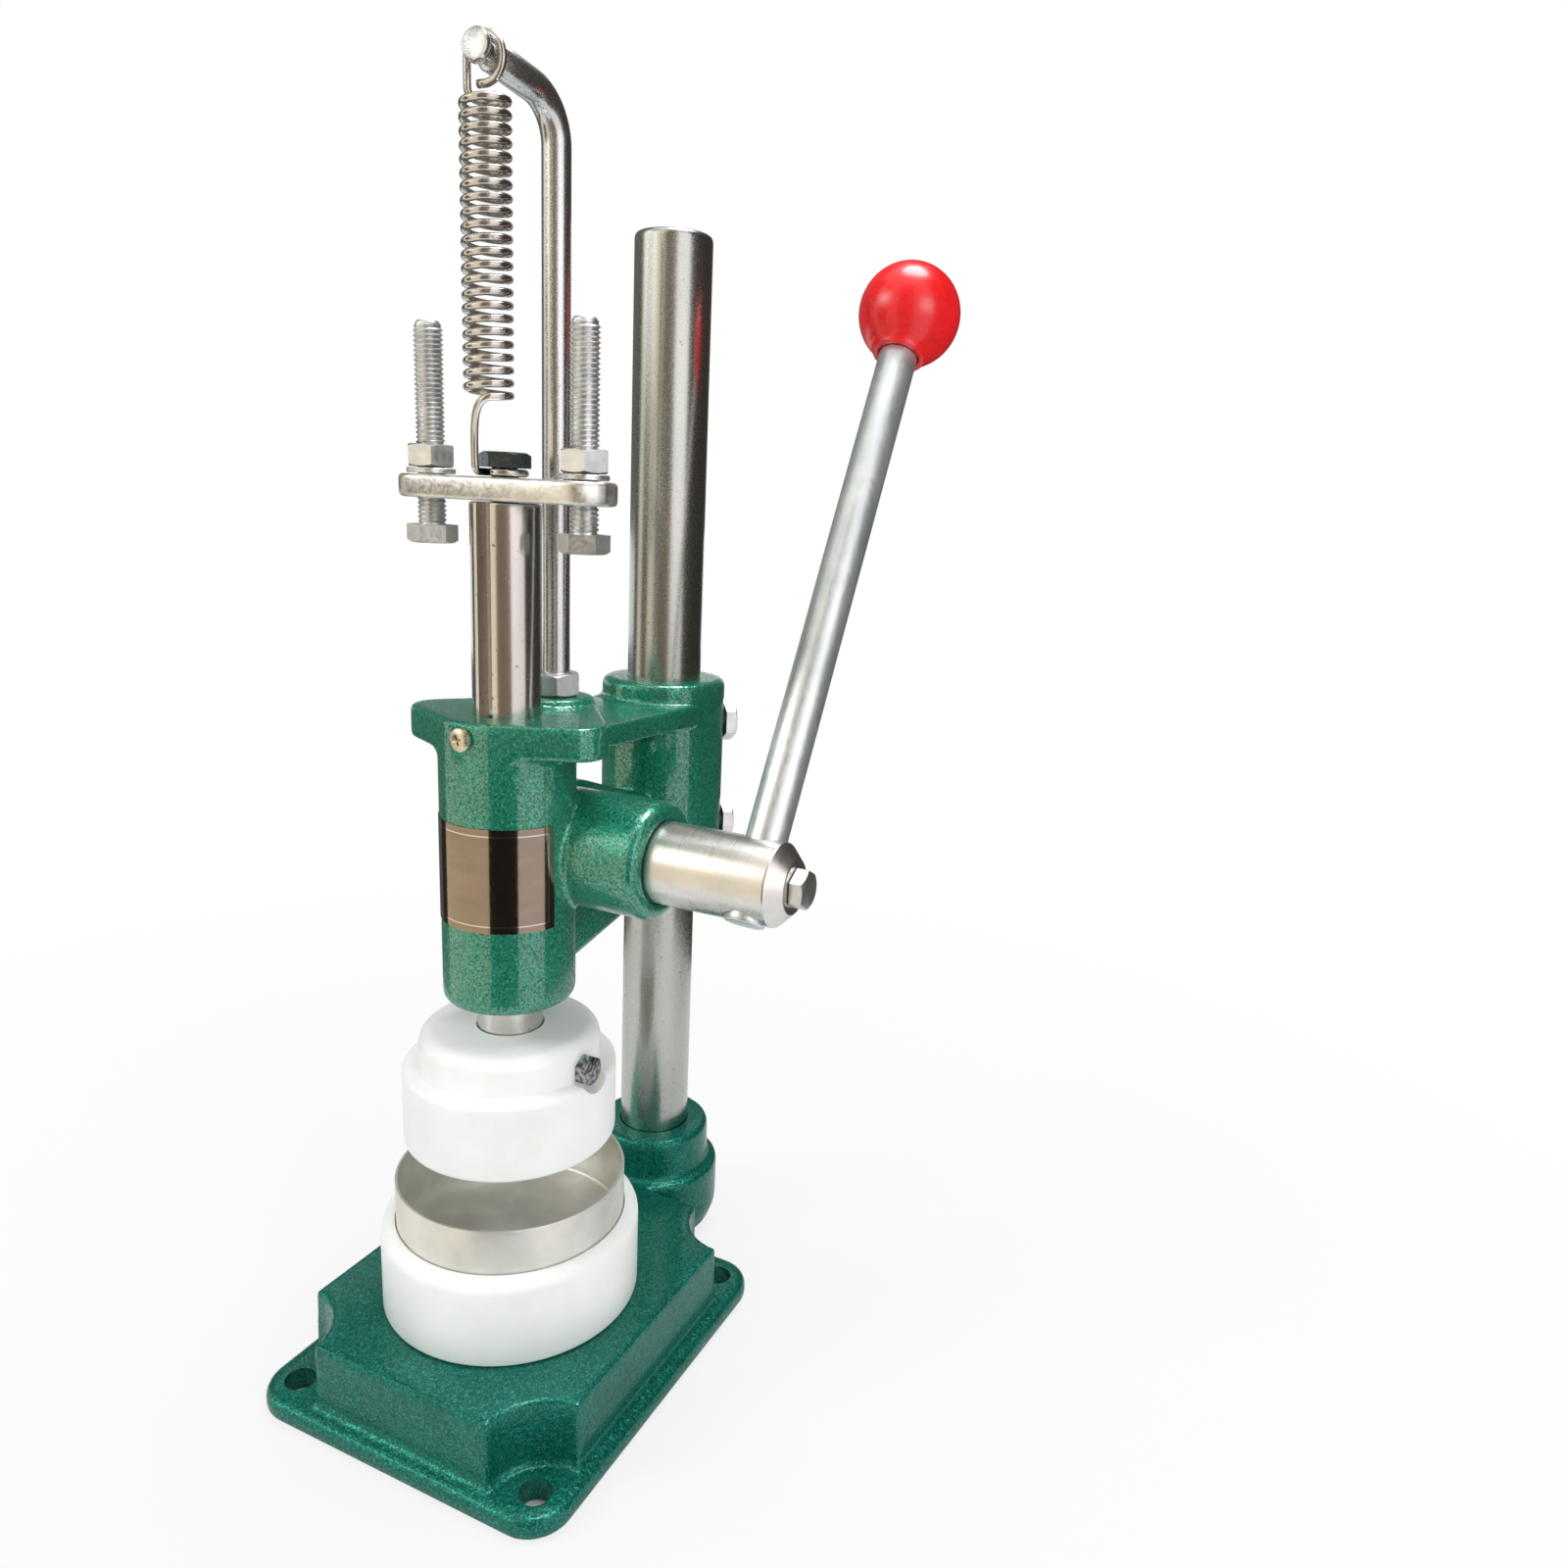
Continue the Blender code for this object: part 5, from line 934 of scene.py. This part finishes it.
m8_flats, m8_pitch, stop_low, washer_radius, washer_edge = 0.012, 0.00125, 0.2572, 0.0066, 0.0002
washer_low = plate_high + play
washer_high = washer_low + 0.0014
washer_outline = [(bolt_radius + play, washer_low), (washer_radius - washer_edge, washer_low),
                  (washer_radius, washer_low + washer_edge), (washer_radius, washer_high - washer_edge),
                  (washer_radius - washer_edge, washer_high), (bolt_radius + play, washer_high)]
for end, x, bolt_swing, nut_swing in ((1, -stop_x, 12, -18), (2, stop_x, 0, -25)):
    long_bolt = hex_bolt(m8_flats, head=0.005, radius=bolt_radius, length=0.0535, pitch=m8_pitch)
    shown(f"long_stop_bolt_{end}", aimed(swung(long_bolt, bolt_swing), Vector((x, 0, stop_low))), zinc, "ram",
          "zinc_plate", f"stop_bolt_{end}")
    washer = lofted(rings_at(*washer_outline), closed=True)
    shown(f"flat_washer_{end}", aimed(washer, RIGHT * x), zinc, "ram", "zinc_plate", f"stop_washer_{end}")
    lock_nut = swung(hex_nut(m8_flats, height=0.006, bore=bolt_radius + play), nut_swing)
    shown(f"lock_nut_{end}", aimed(lock_nut, Vector((x, 0, washer_high + play))), zinc, "ram",
          "zinc_plate", f"stop_nut_{end}")
# The plate bolt is zinc-plated like the others; its dark grey colour is painted shade, mottled at random.
zinc_in_painted_shade = Finish("zinc_painted_shade", (0.14, 0.17, 0.18), Metallic=1.0)
painted_shade_tints = (0.10, 0.13, 0.14), (0.20, 0.24, 0.25)
zinc_in_painted_shade.drive(Base_Color=zinc_in_painted_shade.clouds(zinc_in_painted_shade.noise(0.003, 3.0), *painted_shade_tints),
                Roughness=zinc_in_painted_shade.drift(zinc_in_painted_shade.noise(0.001), 0.24, 0.36))
zinc_in_painted_shade.bump(zinc_in_painted_shade.noise(0.0006, 2.0), 0.00001, 0.3)
wire, top_bolt_head = 0.001, 0.004
top_bolt_height = plate_high + 2 * play + 2 * wire + top_bolt_head
top_bolt = hex_bolt(m8_flats, top_bolt_head, bolt_radius, length=0.0208, pitch=m8_pitch)
shown("plate_bolt", aimed(top_bolt, UP * top_bolt_height, -UP), zinc_in_painted_shade, "ram", "zinc_plate",
      "ram_top_bolt")

# The upper die: a turned white nylon plug with a smaller collar, which goes down into the mould ring.
# It sits on the ram's end, held by one zinc-plated screw from the right, painted dark as shade in its recess.
plug_radius, plug_low, plug_high, plug_bore = 0.0316, 0.0821, 0.1056, ram_radius + play
collar_radius, collar_high, collar_edge = 0.0267, 0.1172, 0.0045
plug_screw_height, plug_screw_radius, plug_screw_x, recess_low = 0.1085, 0.0025, 0.03, 0.0262
plug_profile = eased([(0, plug_low), (plug_radius, plug_low), (plug_radius, plug_high),
                      (collar_radius + 0.0002, plug_high + 0.0004)], 0.0016, 6)
plug_profile += [(collar_radius, plug_high + 0.0008)]
plug_profile += quarter_round(collar_radius, collar_high, collar_edge, 8)
plug_profile += [(plug_bore + 0.0002, collar_high), (plug_bore, collar_high - 0.0002),
                 (plug_bore, ram_low - play), (0, ram_low - play)]
plug_holes = (0.0062, recess_low, 0.034), (plug_screw_radius + play, 0.008, 0.03)
plug_tools = [aimed(drill(radius, low, high), UP * plug_screw_height, RIGHT)
              for radius, low, high in plug_holes]
shown("upper_die_plug", machined(turned(plug_profile, 144), *plug_tools), nylon, "ram", "white_nylon",
      "upper_die")
# The die screw is zinc-plated; its dark grey is painted shade in its recess, with random mottling between
# dark and pale.
zinc_in_recess_shade = Finish("zinc_recess_painted_shade", (0.2, 0.2, 0.2), Metallic=1.0)
stains_in_recess_shade = zinc_in_recess_shade.spread(zinc_in_recess_shade.noise(0.0012, 4.0), 0.4, 0.62)
zinc_in_recess_shade.drive(Base_Color=zinc_in_recess_shade.mixed(stains_in_recess_shade, (0.09, 0.10, 0.11), (0.54, 0.55, 0.55)),
                Roughness=zinc_in_recess_shade.drift(zinc_in_recess_shade.noise(0.0006), 0.3, 0.5))
zinc_in_recess_shade.bump(zinc_in_recess_shade.noise(0.0008, 3.0), 0.00006, 0.4)
plug_screw = hex_bolt(flats=0.008, head=0.0035, radius=plug_screw_radius, length=0.0166, pitch=0.0008)
shown("plug_screw", aimed(plug_screw, Vector((plug_screw_x, 0, plug_screw_height)), -RIGHT), zinc_in_recess_shade, "ram",
      "zinc_plate", "upper_die_screw")

# The return spring: bright wire 2 mm thick, with an eye under the plate's bolt and a loop on the hanger.
# It is one unbroken wire, built here at rest; it is tied to no body, so it does not stretch as the ram goes
# down.
coil_radius, coil_bottom, coil_turns, coil_points, backset = 0.0055, 0.2956, 22.55, 28, 0.0025
eye_radius, eye_start, eye_swing, foot_reach, foot_radius = 0.0053, -70, 260, 0.0045, 0.002
hook_rise, hook_lead, loop_swing, round_steps = 0.009, 0.005, 270, 40


def on_circle(centre, radius, degrees, side, up):
    angle = math.radians(degrees)
    return centre + side * (radius * math.cos(angle)) + up * (radius * math.sin(angle))


spring_place = arm_reach - (tip_length + groove_width / 2) * math.sin(bend)
coil_axis = -BACK * spring_place
loop_top = arm_point(spring_place).z + groove_radius + play + wire
loop_centre = coil_axis + UP * (loop_top - coil_radius)
coil_top = loop_centre.z - coil_radius - wire * 5 / 2
eye_centre = UP * (plate_high + play + wire)
eye = [on_circle(eye_centre, eye_radius, eye_start + eye_swing * k / round_steps, RIGHT, BACK)
       for k in range(round_steps + 1)]
wire_path = [eye[0] + (eye[0] - eye[1]).normalized() * 2 * wire] + eye
last_turn = 180 - math.degrees(math.asin(backset / coil_radius))
first_turn = last_turn - 360 * coil_turns
coil = []
coil_count = round(coil_turns * coil_points)
for k in range(coil_count + 1):
    centre = coil_axis + UP * (coil_bottom + (coil_top - coil_bottom) * k / coil_count)
    coil.append(on_circle(centre, coil_radius, first_turn + 360 * coil_turns * k / coil_count, RIGHT, BACK))
leaving = on_circle(Vector((0, 0, 0)), 1, eye_start + eye_swing + 90, RIGHT, BACK)
foot_centre = eye[-1] + leaving * foot_reach + UP * foot_radius
wire_path += [on_circle(foot_centre, foot_radius, 90 * k / 10 - 90, leaving, UP) for k in range(11)]
hook_foot = wire_path[-1]
upright = hook_foot + UP * hook_rise
meeting = coil[0] - (coil[1] - coil[0]).normalized() * hook_lead
for k in range(1, round_steps):
    t = k / round_steps
    wire_path.append(hook_foot * (1 - t) ** 3 + upright * (3 * t * (1 - t) ** 2)
                     + meeting * (3 * t ** 2 * (1 - t)) + coil[0] * t ** 3)
wire_path += coil
loop_side = loop_centre - RIGHT * coil_radius
knee = Vector((loop_side.x, loop_side.y, coil[-1].z))
target = knee + UP * backset
for k in range(1, 9):
    t = k / 8
    wire_path.append(coil[-1] * (1 - t) ** 2 + knee * (2 * t * (1 - t)) + target * t ** 2)
loop = [on_circle(loop_centre, coil_radius, 180 - loop_swing * k / round_steps, RIGHT, UP)
        for k in range(round_steps + 1)]
wire_path += loop + [loop[-1] - RIGHT * 2 * wire]
spring_steel = bright_steel("spring_wire", (0.72, 0.70, 0.66), grain=(1, 1, 1), roughness=0.2, pits=0.6)
spring = formed("return_spring_wire", tube(wire_path, [wire] * len(wire_path), 14), spring_steel, sharp=180)
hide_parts("return_spring")
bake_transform(spring)
